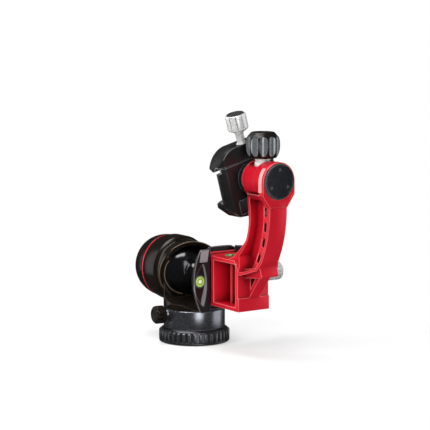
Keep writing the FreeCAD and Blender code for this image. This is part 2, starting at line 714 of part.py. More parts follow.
def arm_box():
    """Open-sided box behind the dovetail, deeper than the arm."""
    outer = slab_xz([(BOX_X0, BOX_Z0), (BOX_X1, BOX_Z0 - 0.5), (BOX_X1, BOX_Z0 + BAND_H),
                     (BOX_X1 - BAND_STEP, BOX_Z0 + BAND_H), (BOX_X1 - BAND_STEP, BOX_Z1 - 9),
                     (BOX_X1 - 8, BOX_Z1), (BOX_X0, BOX_Z1)], -BOX_HALF, BOX_HALF)
    neck_half = DOVE_HALF - DOVE_LEAN
    neck = block(ARM_X0 + DOVE_H, BOX_X0 + 1, -neck_half, neck_half, BOX_Z0, BOX_Z1)
    foot = dovetail(DOVE_HALF, DOVE_H, DOVE_LEAN, ARM_X0, BOX_Z0 - 2, BOX_Z1 + 2)
    hollow_x = BOX_X0 + BOX_WALL
    hollow = block(hollow_x, BOX_IN_X1, -BOX_HALF - 1, BOX_HALF + 1, BOX_Z0 + BOX_WALL, BOX_Z1 - BOX_WALL)
    web = block(hollow_x - 1, BOX_IN_X1 + 1, 3, 6, BOX_Z0 + 1, BOX_Z1 - 1)
    rib = block(BAY_RIB_X, BAY_RIB_X + 3, -8, 4, BOX_Z0 + 1, BOX_Z1 - 1)
    centre = Vector(BOX_IN_X1 - 9, 0, BAY_RING_Z)
    ring = tube(BAY_RING_R, BAY_RING_R - 2.5, centre - Y_AXIS * 3, centre + Y_AXIS * 4)
    ring = ring.common(block(hollow_x, BOX_IN_X1 + 1, -4, 4, BOX_Z0 + 1, BOX_Z1 - 1))
    body = outer.fuse([neck, foot]).cut(hollow)
    return body.fuse([web, rib, ring])


def gimbal_arm():
    frame = slab_xz(arm_side(), -BOX_HALF, BOX_HALF)
    for side in (-1, 1):
        frame = frame.cut(side_air(side))
    for pocket in arm_pockets():
        frame = frame.cut(pocket)
    body = frame.fuse([arm_box(), arm_spur()])
    hub = turned([(0, 0), (HUB_R - 1.5, 0), (HUB_R, 1.5), (HUB_R, HUB_X1 - HUB_X0 - 1.5),
                  (HUB_R - 1.2, HUB_X1 - HUB_X0), (0, HUB_X1 - HUB_X0)],
                 Vector(HUB_X0, 0, HUB_Z), X_AXIS)
    shoulder = slab_xz([(115.5, HUB_Z - HUB_R + 10), (115.5, HUB_Z - 18), (153.5, HUB_Z - 18), (153.5, HUB_Z)],
                       -ARM_HALF, ARM_HALF)
    pad = rod(PAD_R, hub_line(PAD_X0), hub_line(BOSS_X0 + 1))
    pad = pad.common(block(PAD_X0, BOSS_X0 + 1, -PAD_R, PAD_R, HUB_Z - PAD_DROP, HUB_Z + PAD_R))
    body = body.fuse([hub, shoulder, pad, hub_boss()]).removeSplitter()
    return bore_hub(body)


def hub_boss():
    """Outer end of the hub: round on top, straight down its sides, then drawn in to the neck."""
    r = BOSS_HALF
    side = [(-ARM_HALF, HUB_Z - 27), (ARM_HALF, HUB_Z - 27), (r, HUB_Z - 14), (r, HUB_Z),
            ((0, HUB_Z + r), (-r, HUB_Z)), (-r, HUB_Z - 14)]
    return slab_yz(side, BOSS_X0, HUB_X1 - 0.6)


def hub_line(x):
    return Vector(x, 0, HUB_Z)


def bore_hub(body):
    for slot in arm_holes():
        body = body.cut(slot)
    body = body.cut(rod(BUSH_R, hub_line(HUB_X0 - 1), hub_line(HUB_X0 + BUSH_L)))
    body = body.cut(rod(SHAFT_R + 1, hub_line(HUB_X0), hub_line(HUB_X1)))
    cap_floor = HUB_X1 - CAP_L
    body = body.cut(rod(BUSH_R, hub_line(cap_floor - 9 - BUSH_L), hub_line(cap_floor)))
    body = body.cut(rod(BUSH_R + 3.5, hub_line(cap_floor - 9), hub_line(cap_floor + 1)))
    body = body.cut(rod(CAP_R + RUN, hub_line(cap_floor), hub_line(HUB_X1 + 1)))
    shoe_top = HUB_Z + SHAFT_R + SHOE_H - 0.5
    body = body.cut(rod(SHOE_R + 0.1, Vector(TENSION_X, 0, HUB_Z), Vector(TENSION_X, 0, shoe_top)))
    screw_end = Vector(TENSION_X, 0, tension_base())
    body = body.cut(rod(TENSION_SCREW_R + RUN, Vector(TENSION_X, 0, HUB_Z), screw_end))
    seat = Vector(TENSION_X, 0, tension_base() - 0.1)
    body = body.cut(rod(TENSION_COLLAR_R + 0.8, seat, seat + Z_AXIS * (TENSION_SUNK + 6)))
    body = body.cut(vial_seat(arm_vial_place(), Z_AXIS))
    for place in stop_screw_places():
        body = body.cut(rod(STOP_PIN_R, place, place + X_AXIS * 9))
    return body


def arm_vial_place():
    return Vector(BOX_X0 + 9.5, -2, BOX_Z1)


def stop_screw_places():
    return [Vector(ARM_X0 - 1, 0, z) for z in (BOX_Z0 + 5, BOX_Z1 - 5)]


def stop_screws():
    """Sunk screws in the dovetail's face that stop it sliding out of a clamp."""
    solids = []
    for place in stop_screw_places():
        solids.append(rod(STOP_PIN_R, place + X_AXIS * 1.2, place + X_AXIS * 8))
    return solids


def inner_bush():
    sleeve = tube(BUSH_R, SHAFT_R + RUN, hub_line(HUB_X0), hub_line(HUB_X0 + BUSH_L))
    flange = tube(BUSH_FLANGE_R, SHAFT_R + RUN, hub_line(HUB_X0 - BUSH_FLANGE_L), hub_line(HUB_X0))
    return sleeve.fuse(flange)


def outer_bush():
    end = HUB_X1 - CAP_L - 9
    return tube(BUSH_R, SHAFT_R + RUN, hub_line(end - BUSH_L), hub_line(end))


def hub_cap():
    cap = turned([(0, 0), (CAP_R, 0), (CAP_R, CAP_L + CAP_OUT - 0.8), (CAP_R - 0.8, CAP_L + CAP_OUT),
                  (CAP_R - 2.4, CAP_L + CAP_OUT), (CAP_R - 3, CAP_L + CAP_OUT - 0.5),
                  (0, CAP_L + CAP_OUT - 0.5)], hub_line(HUB_X1 - CAP_L), X_AXIS)
    for place in cap_screw_places():
        cap = cap.cut(rod(1.7, place, place + X_AXIS * 9))
        cap = cap.cut(rod(1.0, place - X_AXIS * 9, place + X_AXIS))
    return cap


def cap_screw_places():
    places = []
    for index in range(3):
        spoke = polar(CAP_R - 6, 120 * index + 90, 0)
        places.append(Vector(HUB_X1 + CAP_OUT - 1.9, spoke.x, HUB_Z + spoke.y))
    return places


def cap_screws():
    """Three sunk socket screws that hold the cap."""
    solids = []
    for place in cap_screw_places():
        head = rod(1.7, place, place + X_AXIS * 1.4)
        shank = rod(1.0, place - X_AXIS * 3, place + X_AXIS * 0.2)
        solids.append(head.fuse(shank))
    return solids


def brake_shoe():
    """Block that the tension screw presses on the tilt shaft."""
    low = HUB_Z + SHAFT_R - 1
    blank = rod(SHOE_R, Vector(TENSION_X, 0, low), Vector(TENSION_X, 0, low + SHOE_H))
    return blank.cut(rod(SHAFT_R + 0.1, hub_line(HUB_X0), hub_line(HUB_X1)))


def tension_base():
    return HUB_Z + HUB_R - TENSION_SUNK


def tension_collar():
    """Two-step bright collar under the knob."""
    low = tension_base()
    collar = turned([(0, 0), (TENSION_COLLAR_R, 0), (TENSION_COLLAR_R, 4.6), (TENSION_COLLAR_R - 0.9, 5.2),
                     (TENSION_COLLAR_R - 0.9, 6.4), (TENSION_COLLAR_R + 0.2, 7), (TENSION_COLLAR_R + 0.2, 8.6),
                     (0, TENSION_COLLAR_H)], Vector(TENSION_X, 0, low), Z_AXIS)
    return collar.cut(tension_screw())


def tension_screw():
    low = HUB_Z + SHAFT_R - 1 + SHOE_H + 0.4
    high = tension_base() + TENSION_COLLAR_H + 12
    return rod(TENSION_SCREW_R, Vector(TENSION_X, 0, low), Vector(TENSION_X, 0, high))


def tension_knob():
    """Scalloped knob, drawn in at its foot and bevelled at its crown."""
    low = tension_base() + TENSION_COLLAR_H
    r = TENSION_KNOB_R
    h = TENSION_KNOB_H
    grip = lobed(r, h, TENSION_LOBES, 5.2, 1.9)
    dome = turned([(0, 0), (r - 6.5, 0), (r - 3, 2), (r - 1, 6), (r, 12), (r, 18), (r - 0.6, 21),
                   (r - 2.2, 24), (r - 5, 26.2), (r - 7, h), (0, h)], Vector(), Z_AXIS)
    body = along(grip.common(dome), Vector(TENSION_X, 0, low), Z_AXIS)
    return body.cut(tension_screw())


# ---- tilt shaft and lens clamp ----------------------------------------------
def tilt_shaft():
    """Hollow-ended axle with a broad flange that carries the lens clamp."""
    end = HUB_X1 - CAP_L - 9 + 1.6
    flange_face = HUB_X0 - BUSH_FLANGE_L - 0.1
    shaft = rod(SHAFT_R, hub_line(LENS_X1 - 4), hub_line(end + 3.4))
    flange = rod(FLANGE_R, hub_line(LENS_X1), hub_line(flange_face))
    groove = tube(SHAFT_R + 1, SHAFT_R - 1, hub_line(end), hub_line(end + 1.6))
    return shaft.fuse(flange).cut(groove)


def shaft_clip():
    """Split ring in the shaft's groove, outside the outer bush."""
    start = HUB_X1 - CAP_L - 9 + 1.6
    ring = tube(SHAFT_R + 3, SHAFT_R - 1, hub_line(start + 0.05), hub_line(start + 1.55))
    return ring.cut(block(start - 1, start + 3, -2, 2, HUB_Z - SHAFT_R - 4, HUB_Z))


def flange_screw_places():
    return [Vector(LENS_FLOOR, y, HUB_Z + z) for y in (-12, 12) for z in (-5.5, 5.5)]


def lens_outline():
    """Front view of the lens clamp with its cut corners."""
    c = LENS_CORNER
    half = LENS_HALF_Y
    z0 = HUB_Z + LENS_BOTTOM
    z1 = HUB_Z + LENS_TOP
    return [(-half, z0 + c + 3), (-half + c, z0 + 2), (-half + 2 * c, z0), (half - 2 * c, z0),
            (half - c, z0 + 2), (half, z0 + c + 3), (half, HUB_Z + LENS_SPLIT),
            ((half - 8, z1 - 6), (half - 22, z1)), (-half + 22, z1),
            ((-half + 8, z1 - 6), (-half, HUB_Z + LENS_SPLIT))]


def lens_channel():
    """Dovetail space along the lens, with its mouth flared open."""
    y0 = -LENS_HALF_Y - 1
    run = Vector(0, 2 * LENS_HALF_Y + 2, 0)
    low = HUB_Z - DOVE_HALF
    high = HUB_Z + DOVE_HALF
    x = LENS_FLOOR
    steps = [(x, low), (x, high), (x - DOVE_H, high - DOVE_LEAN), (LENS_X0 - 1, high + 1),
             (LENS_X0 - 1, low - 1), (x - DOVE_H, low + DOVE_LEAN)]
    return outline(steps, lambda a, b: Vector(a, y0, b)).extrude(run)


def lens_blank():
    """Clamp's outline made solid, its two back edges planed off along their height."""
    blank = slab_yz(lens_outline(), LENS_X0, LENS_X1)
    half = LENS_HALF_Y
    bevel = LENS_BEVEL
    plan = outline([(LENS_X0, -half), (LENS_X1 - bevel, -half), (LENS_X1, -half + bevel),
                    (LENS_X1, half - bevel), (LENS_X1 - bevel, half), (LENS_X0, half)],
                   lambda x, y: Vector(x, y, HUB_Z + LENS_BOTTOM - 1))
    return blank.common(plan.extrude(Z_AXIS * (LENS_TOP - LENS_BOTTOM + 2)))


def lens_clamp_body():
    body = lens_blank().cut(lens_channel())
    split = HUB_Z + LENS_SPLIT
    body = body.cut(block(LENS_X0 - 1, LENS_FLOOR + 5, -LENS_HALF_Y - 1, LENS_HALF_Y + 1,
                          HUB_Z + DOVE_HALF - DOVE_LEAN - 1, HUB_Z + LENS_TOP + 1))
    body = body.cut(block(LENS_FLOOR, LENS_X1 + 1, -LENS_HALF_Y - 1, LENS_HALF_Y + 1,
                          split, HUB_Z + LENS_TOP + 1))
    body = body.cut(block(LENS_X1 - LENS_PIT_DEPTH, LENS_X1 + 1, -LENS_PIT_HALF, LENS_PIT_HALF,
                          HUB_Z + LENS_BOTTOM + 4, HUB_Z - FLANGE_R - 2))
    body = body.cut(rod(SHAFT_R, hub_line(LENS_X1 - 4), hub_line(LENS_X1 + 1)))
    body = body.cut(rod(LENS_SCREW_R + RUN, lens_line(0, SHAFT_R), lens_line(0, 40)))
    for side in (-1, 1):
        body = body.cut(rod(GUIDE_R, lens_line(side * GUIDE_Y, -4), lens_line(side * GUIDE_Y, 40)))
    for place in flange_screw_places():
        body = body.cut(rod(1.5, place, Vector(LENS_X1 + 1, place.y, place.z)))
        body = body.cut(rod(2.8, place - X_AXIS, place + X_AXIS * 3))
    return leaned(body)


def lens_line(y, z):
    return Vector(LENS_FLOOR + 4.6, y, HUB_Z + z)


def lens_jaw():
    """Curved moving jaw above the channel."""
    body = lens_blank().cut(lens_channel())
    split = HUB_Z + LENS_SPLIT + 0.8
    keep = block(LENS_X0 - 1, LENS_X1 + 1, -LENS_HALF_Y - 1, LENS_HALF_Y + 1,
                 split, HUB_Z + LENS_TOP + 1)
    lip = block(LENS_X0 - 1, LENS_FLOOR - 0.1, -LENS_HALF_Y - 1, LENS_HALF_Y + 1,
                HUB_Z + DOVE_HALF - DOVE_LEAN - 0.6, HUB_Z + LENS_TOP + 1)
    body = body.common(keep.fuse(lip))
    body = body.cut(rod(LENS_SCREW_R + RUN, lens_line(0, 0), lens_line(0, 50)))
    for side in (-1, 1):
        end = lens_line(side * GUIDE_Y, LENS_TOP - 3.5)
        body = body.cut(rod(GUIDE_R + RUN, lens_line(side * GUIDE_Y, 0), end))
    return leaned(body)


def lens_guide_pins():
    return [leaned(rod(GUIDE_R, lens_line(side * GUIDE_Y, -3), lens_line(side * GUIDE_Y, LENS_TOP - 5)))
            for side in (-1, 1)]


def flange_screws():
    solids = []
    for place in flange_screw_places():
        head = rod(2.8, place + X_AXIS * 0.3, place + X_AXIS * 3)
        shank = rod(1.5, place + X_AXIS * 2, Vector(LENS_X1, place.y, place.z))
        solids.append(leaned(head.fuse(shank)))
    return solids


def lens_clamp_screw():
    return leaned(rod(LENS_SCREW_R, lens_line(0, SHAFT_R + 1), lens_line(0, LENS_TOP + 3)))


def lens_knob():
    """Bright knob on a slim stem, fluted round its grip."""
    low = LENS_TOP + 0.2
    stem = turned([(0, 0), (LENS_STEM_R + 1.6, 0), (LENS_STEM_R, 1.6), (LENS_STEM_R, LENS_STEM_L - 3.4),
                   (LENS_KNOB_R - 1.2, LENS_STEM_L), (0, LENS_STEM_L)], lens_line(0, low), Z_AXIS)
    grip = lobed(LENS_KNOB_R, LENS_KNOB_L, 12, 2.6, 0.7)
    edge = turned([(0, 0), (LENS_KNOB_R - 1.2, 0), (LENS_KNOB_R, 1.4), (LENS_KNOB_R, LENS_KNOB_L - 0.8),
                   (LENS_KNOB_R - 0.8, LENS_KNOB_L), (0, LENS_KNOB_L)], Vector(), Z_AXIS)
    head = along(grip.common(edge), lens_line(0, low + LENS_STEM_L), Z_AXIS)
    body = stem.fuse(head)
    top = low + LENS_STEM_L + LENS_KNOB_L
    body = body.cut(rod(LENS_KNOB_R - 1.6, lens_line(0, top - 1.4), lens_line(0, top + 1)))
    body = body.cut(rod(LENS_SCREW_R, lens_line(0, 0), lens_line(0, LENS_TOP + 3)))
    return leaned(body)


def lens_knob_cap():
    top = LENS_TOP + 0.2 + LENS_STEM_L + LENS_KNOB_L
    r = LENS_KNOB_R - 1.6
    return leaned(turned([(0, -1.4), (r, -1.4), (r, 0.2), (r - 0.8, LENS_CAP_H - 1.4), (0, LENS_CAP_H - 1.4)],
                         lens_line(0, top), Z_AXIS))


NODES = {
    "base_plate": base_plate, "grip_ring": grip_ring, "base_drum": base_drum,
    "thread_insert": thread_insert, "base_screws": base_screws, "pan_spindle": pan_spindle,
    "spindle_nut": spindle_nut, "pan_washer": pan_washer,
    "turret_housing": turret_housing, "pan_brake_pads": pan_brake_pads,
    "front_collar": front_collar, "ball_cup": ball_cup, "accent_ring": accent_ring,
    "pan_lock_knob": lambda: small_knob(PAN_KNOB_ANGLE),
    "pan_lock_screw": lambda: knob_shank(PAN_KNOB_ANGLE),
    "friction_knob": lambda: small_knob(FRICTION_KNOB_ANGLE),
    "friction_screw": lambda: knob_shank(FRICTION_KNOB_ANGLE),
    "ball_lock_knob": ball_lock_knob, "ball_lock_screw": ball_lock_screw,
    "ball_stem": ball_stem,
    "clamp_base": clamp_base, "stem_screw": stem_screw, "clamp_guide_pins": clamp_guide_pins,
    "clamp_level_dish": lambda: vial_cup(clamp_vial_place(), X_AXIS),
    "clamp_level_vial": lambda: vial_glass(clamp_vial_place(), X_AXIS),
    "clamp_jaw": clamp_jaw, "clamp_knob": clamp_knob, "clamp_screw": clamp_screw,
    "gimbal_arm": gimbal_arm, "stop_screws": stop_screws,
    "arm_level_dish": lambda: vial_cup(arm_vial_place(), Z_AXIS),
    "arm_level_vial": lambda: vial_glass(arm_vial_place(), Z_AXIS),
    "inner_bush": inner_bush, "outer_bush": outer_bush, "hub_cap": hub_cap,
    "cap_screws": cap_screws, "brake_shoe": brake_shoe,
    "tension_knob": tension_knob, "tension_collar": tension_collar, "tension_screw": tension_screw,
    "tilt_shaft": tilt_shaft, "shaft_clip": shaft_clip,
    "lens_clamp_body": lens_clamp_body, "flange_screws": flange_screws,
    "lens_guide_pins": lens_guide_pins,
    "lens_jaw": lens_jaw, "lens_knob": lens_knob, "lens_knob_cap": lens_knob_cap,
    "lens_clamp_screw": lens_clamp_screw,
}


def main():
    os.makedirs("parts", exist_ok=True)
    for name, make in NODES.items():
        made = make()
        if isinstance(made, list):
            made = Part.makeCompound(made)
        count = len(made.Solids)
        if count == 0 or not made.isValid():
            raise ValueError(name + " is not a valid solid")
        if count == 1:
            made = made.Solids[0]
        made.exportStep("parts/" + name + ".step")
        box = made.BoundBox
        print(name, count, [round(v, 1) for v in (box.XMin, box.XMax, box.YMin, box.YMax, box.ZMin, box.ZMax)])


main()
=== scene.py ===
"""Looks of the side-mount gimbal head: red anodised arm, black ball head, bright knobs."""
import bmesh
import bpy
import json
import math
from mathutils import Matrix, Vector


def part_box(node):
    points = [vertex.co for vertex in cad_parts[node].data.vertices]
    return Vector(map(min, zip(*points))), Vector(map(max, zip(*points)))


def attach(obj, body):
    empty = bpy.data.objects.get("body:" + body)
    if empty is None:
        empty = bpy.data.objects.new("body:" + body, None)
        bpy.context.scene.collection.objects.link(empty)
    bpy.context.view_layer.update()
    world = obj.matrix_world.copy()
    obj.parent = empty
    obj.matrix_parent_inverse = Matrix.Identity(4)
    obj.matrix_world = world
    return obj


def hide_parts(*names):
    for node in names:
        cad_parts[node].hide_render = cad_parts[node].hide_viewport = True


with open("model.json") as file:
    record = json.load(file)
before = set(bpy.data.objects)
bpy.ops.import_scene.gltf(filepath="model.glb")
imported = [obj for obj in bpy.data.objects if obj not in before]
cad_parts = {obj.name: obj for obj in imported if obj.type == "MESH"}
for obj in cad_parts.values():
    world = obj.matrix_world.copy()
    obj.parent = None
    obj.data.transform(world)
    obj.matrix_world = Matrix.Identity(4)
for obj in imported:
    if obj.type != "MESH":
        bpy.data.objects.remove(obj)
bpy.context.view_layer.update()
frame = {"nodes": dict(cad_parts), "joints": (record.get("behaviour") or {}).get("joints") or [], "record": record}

MM = 0.001
X_AXIS = Vector((1, 0, 0))
Y_AXIS = Vector((0, 1, 0))
Z_AXIS = Vector((0, 0, 1))
JOINTS = {joint["name"]: joint for joint in frame["joints"]}
HUB = Vector(JOINTS["tilt"]["pos_m"])


# ---- node helpers -----------------------------------------------------------
def feed(tree, node, *values):
    """Give a node's first inputs their values, each a number or another node's output."""
    for slot, value in enumerate(values):
        if isinstance(value, (int, float)):
            node.inputs[slot].default_value = value
        else:
            tree.links.new(value, node.inputs[slot])
    return node.outputs[0]


def tree_math(tree, operation, a, b):
    node = tree.nodes.new("ShaderNodeMath")
    node.operation = operation
    return feed(tree, node, a, b)


def tree_vector(tree, x=0.0, y=0.0, z=0.0):
    return feed(tree, tree.nodes.new("ShaderNodeCombineXYZ"), x, y, z)


def noise(tree, vector, scale, detail):
    texture = tree.nodes.new("ShaderNodeTexNoise")
    texture.inputs["Scale"].default_value = scale
    texture.inputs["Detail"].default_value = detail
    tree.links.new(vector, texture.inputs["Vector"])
    return texture.outputs["Fac"]


def spread(tree, value, low, high, start=0.3, end=0.7):
    """Low where the value is at start or before, high where it is at end or past it."""
    fit = tree.nodes.new("ShaderNodeMapRange")
    for label, number in (("From Min", start), ("From Max", end),
                          ("To Min", low), ("To Max", high)):
        fit.inputs[label].default_value = number
    tree.links.new(value, fit.inputs["Value"])
    return fit.outputs[0]


def blended(tree, factor, a, b, blend="MIX"):
    """Colour a, or b blended over it by the factor; each is an output or (red, green, blue)."""
    mix = tree.nodes.new("ShaderNodeMix")
    mix.data_type = "RGBA"
    mix.blend_type = blend
    tree.links.new(factor, mix.inputs["Factor"])
    for label, colour in (("A", a), ("B", b)):
        if isinstance(colour, bpy.types.NodeSocket):
            tree.links.new(colour, mix.inputs[label])
        else:
            mix.inputs[label].default_value = (*colour, 1)
    return mix.outputs["Result"]


def openness(tree, reach, inside=False):
    """How much of the space within reach of a point is free, outside or inside its piece."""
    near = tree.nodes.new("ShaderNodeAmbientOcclusion")
    near.inside = inside
    near.only_local = True
    near.samples = 8
    near.inputs["Distance"].default_value = reach
    return near.outputs["AO"]


# ---- camera and studio ------------------------------------------------------
AZIMUTH = math.radians(55.0)
ELEVATION = math.radians(7.8)
DISTANCE = 2.3
FIELD = 0.473             # width seen at the target's distance
TARGET_RIGHT = 0.02277    # the target's place along the camera's own sideways and upward axes
TARGET_UP = 0.13695
SENSOR = 36.0
LAMP_AIM = Vector((0.05, 0, 0.13))
ROOM_LIGHT = 0.22         # surround as the object's matt faces get it
ROOM_MIRRORED = 0.035     # and as its shiny ones mirror it
FLOOR_RADIUS = 6
FLOOR_Z = -0.0005
FADE_START = 0.08         # the floor fades to white from here outwards
FADE_END = 0.5


def camera_axes():
    right = Vector((math.cos(AZIMUTH), math.sin(AZIMUTH), 0))
    flat = Vector((math.sin(AZIMUTH), -math.cos(AZIMUTH), 0))
    back = flat * math.cos(ELEVATION) + Z_AXIS * math.sin(ELEVATION)
    return right, back.cross(right), back


def set_camera():
    right, up, back = camera_axes()
    target = right * TARGET_RIGHT + up * TARGET_UP
    data = bpy.data.cameras.new("camera")
    data.sensor_width = SENSOR
    data.lens = SENSOR * DISTANCE / FIELD
    data.clip_end = 50
    camera = bpy.data.objects.new("camera", data)
    bpy.context.scene.collection.objects.link(camera)
    turn = Matrix((right, up, back)).transposed().to_4x4()
    camera.matrix_world = Matrix.Translation(target + back * DISTANCE) @ turn
    bpy.context.scene.camera = camera


def softbox(name, spot, size, power, mirrored=True):
    data = bpy.data.lights.new(name, "AREA")
    data.shape = "RECTANGLE"
    data.size, data.size_y = size
    data.energy = power
    lamp = bpy.data.objects.new(name, data)
    bpy.context.scene.collection.objects.link(lamp)
    lamp.location = spot
    lamp.rotation_euler = (LAMP_AIM - spot).to_track_quat("-Z", "Y").to_euler()
    lamp.visible_glossy = mirrored


def set_lamps():
    """Soft lamps round the object; the fill lamp leaves no highlights."""
    right, _, back = camera_axes()
    softbox("key_lamp", right * 0.85 + back * 2.6 + Z_AXIS * 0.55, (1.3, 3.2), 42)
    softbox("fill_lamp", right * -1.7 + back * 1.3 + Z_AXIS * 1.3, (1.0, 1.0), 42, mirrored=False)
    softbox("side_lamp", right * 1.9 + back * -0.25 + Z_AXIS * 0.4, (1.5, 2.2), 11)
    softbox("rim_lamp", right * -1.8 + back * -0.6 + Z_AXIS * 0.5, (0.8, 1.8), 5)
    softbox("top_lamp", Vector((0.05, 0, 1.3)) + right * -0.3, (0.8, 0.8), 13)


def set_surround():
    """White as the camera sees it, and dimmer as the object gets it."""
    world = bpy.data.worlds.new("surround")
    bpy.context.scene.world = world
    world.use_nodes = True
    tree = world.node_tree
    tree.nodes.clear()
    output = tree.nodes.new("ShaderNodeOutputWorld")
    path = tree.nodes.new("ShaderNodeLightPath")
    room = tree.nodes.new("ShaderNodeBackground")
    white = tree.nodes.new("ShaderNodeBackground")
    for background in (room, white):
        background.inputs["Color"].default_value = (1, 1, 1, 1)
    white.inputs["Strength"].default_value = 1.0
    strength = spread(tree, path.outputs["Is Glossy Ray"], ROOM_LIGHT, ROOM_MIRRORED, 0, 1)
    tree.links.new(strength, room.inputs["Strength"])
    seen = tree_math(tree, "MAXIMUM", path.outputs["Is Camera Ray"],
                     path.outputs["Is Transmission Ray"])
    mix = tree.nodes.new("ShaderNodeMixShader")
    tree.links.new(feed(tree, mix, seen, room.outputs[0], white.outputs[0]), output.inputs[0])


def floor_material():
    """Pale matt floor that keeps the shadow and fades to the white surround."""
    material = bpy.data.materials.new("pale_floor")
    material.use_nodes = True
    tree = material.node_tree
    shader = tree.nodes["Principled BSDF"]
    shader.inputs["Base Color"].default_value = (0.92, 0.92, 0.92, 1)
    shader.inputs["Roughness"].default_value = 0.9
    shader.inputs["Specular IOR Level"].default_value = 0.1
    coordinate = tree.nodes.new("ShaderNodeTexCoord")
    length = tree.nodes.new("ShaderNodeVectorMath")
    length.operation = "LENGTH"
    tree.links.new(coordinate.outputs["Object"], length.inputs[0])
    fade = spread(tree, length.outputs["Value"], 0.45, 1.0, FADE_START, FADE_END)
    path = tree.nodes.new("ShaderNodeLightPath")
    seen = tree_math(tree, "MULTIPLY", fade, path.outputs["Is Camera Ray"])
    glow = tree.nodes.new("ShaderNodeEmission")
    mix = tree.nodes.new("ShaderNodeMixShader")
    mixed = feed(tree, mix, seen, shader.outputs[0], glow.outputs[0])
    tree.links.new(mixed, tree.nodes["Material Output"].inputs["Surface"])
    return material


def set_floor():
    bpy.ops.mesh.primitive_circle_add(vertices=96, radius=FLOOR_RADIUS, fill_type="NGON")
    floor = bpy.context.object
    floor.name = "floor"
    floor.location.z = FLOOR_Z
    floor.visible_glossy = False
    floor.data.materials.append(floor_material())


# ---- finishes ---------------------------------------------------------------
MOTTLE_SCALE = 42         # noise scales of uneven colour, of uneven gloss and of a blasted grain
SMEAR_SCALE = 180
BLAST_SCALE = 3200
TURNED_ALONG = 9000       # lathe marks: fine along the axis, long round it
TURNED_ROUND = 60
GRAIN_HEIGHT = 0.0001
CAVITY_SHADE_REACH = 14 * MM
CAVITY_SHADE_TINT = 0.6        # green and blue against red in the painted shade of a pocket


def finish(name, colour, tint, metal, rough, grain, rough_spread=0.06, grain_scale=BLAST_SCALE,
           turned=None, coat=0.0, rubs=0.0, specular=0.5, edge=None, edge_highlight_width=1.2, cavity_shade=None):
    """A metal or plastic finish: mottled from colour to tint, unevenly glossy, with a fine grain.

    The grain is blasted, or lathe marks about the axis turned; rubs is how far handling pales it;
    the edge colour is a painted highlight on broken edges, over the edge width in millimetres;
    the pocket shade is what the colour is multiplied by deep in a pocket, as painted shade."""
    material = bpy.data.materials.new(name)
    material.use_nodes = True
    tree = material.node_tree
    nodes, links = tree.nodes, tree.links
    shader = nodes["Principled BSDF"]
    for label, value in (("Metallic", metal), ("Specular IOR Level", specular),
                         ("Coat Weight", coat), ("Coat Roughness", 0.08)):
        shader.inputs[label].default_value = value
    spot = nodes.new("ShaderNodeTexCoord").outputs["Object"]
    mottle = spread(tree, noise(tree, spot, MOTTLE_SCALE, 3), 0, 1)
    smears = noise(tree, spot, SMEAR_SCALE, 5)
    shade = blended(tree, mottle, colour, tint)
    if rubs:
        pale = [min(1, c * 1.6 + 0.05) for c in tint]
        shade = blended(tree, spread(tree, smears, 0, rubs, 0.6, 0.75), shade, pale)
    # painted shade: the colour darkens and reddens where the piece closes round a point, as in pockets
    if cavity_shade:
        closed = spread(tree, openness(tree, CAVITY_SHADE_REACH), 1, 0, 0.4, 0.95)
        deep = (cavity_shade, cavity_shade * CAVITY_SHADE_TINT, cavity_shade * CAVITY_SHADE_TINT)
        shade = blended(tree, closed, shade, deep, "MULTIPLY")
    bump = nodes.new("ShaderNodeBump")
    # painted highlight: outward edges take the edge colour; on the collar it also gives the lip its bronze
    if edge:
        edge_highlight_mask = spread(tree, openness(tree, edge_highlight_width * MM, inside=True), 1, 0, 0.55, 0.85)
        shade = blended(tree, edge_highlight_mask, shade, edge)
        round_off = nodes.new("ShaderNodeBevel")
        round_off.samples = 6
        round_off.inputs["Radius"].default_value = edge_highlight_width * 0.6 * MM
        links.new(round_off.outputs[0], bump.inputs["Normal"])
    links.new(shade, shader.inputs["Base Color"])
    gloss = spread(tree, smears, rough - rough_spread, rough + rough_spread)
    links.new(gloss, shader.inputs["Roughness"])
    if turned:
        mapping = nodes.new("ShaderNodeMapping")
        mapping.inputs["Scale"].default_value = [
            TURNED_ALONG if abs(c) > 0.5 else TURNED_ROUND for c in turned]
        links.new(spot, mapping.inputs["Vector"])
        height = noise(tree, mapping.outputs[0], 1.0, 2)
    else:
        height = noise(tree, spot, grain_scale, 2)
    bump.inputs["Strength"].default_value = grain
    bump.inputs["Distance"].default_value = GRAIN_HEIGHT
    links.new(height, bump.inputs["Height"])
    links.new(bump.outputs[0], shader.inputs["Normal"])
    return material


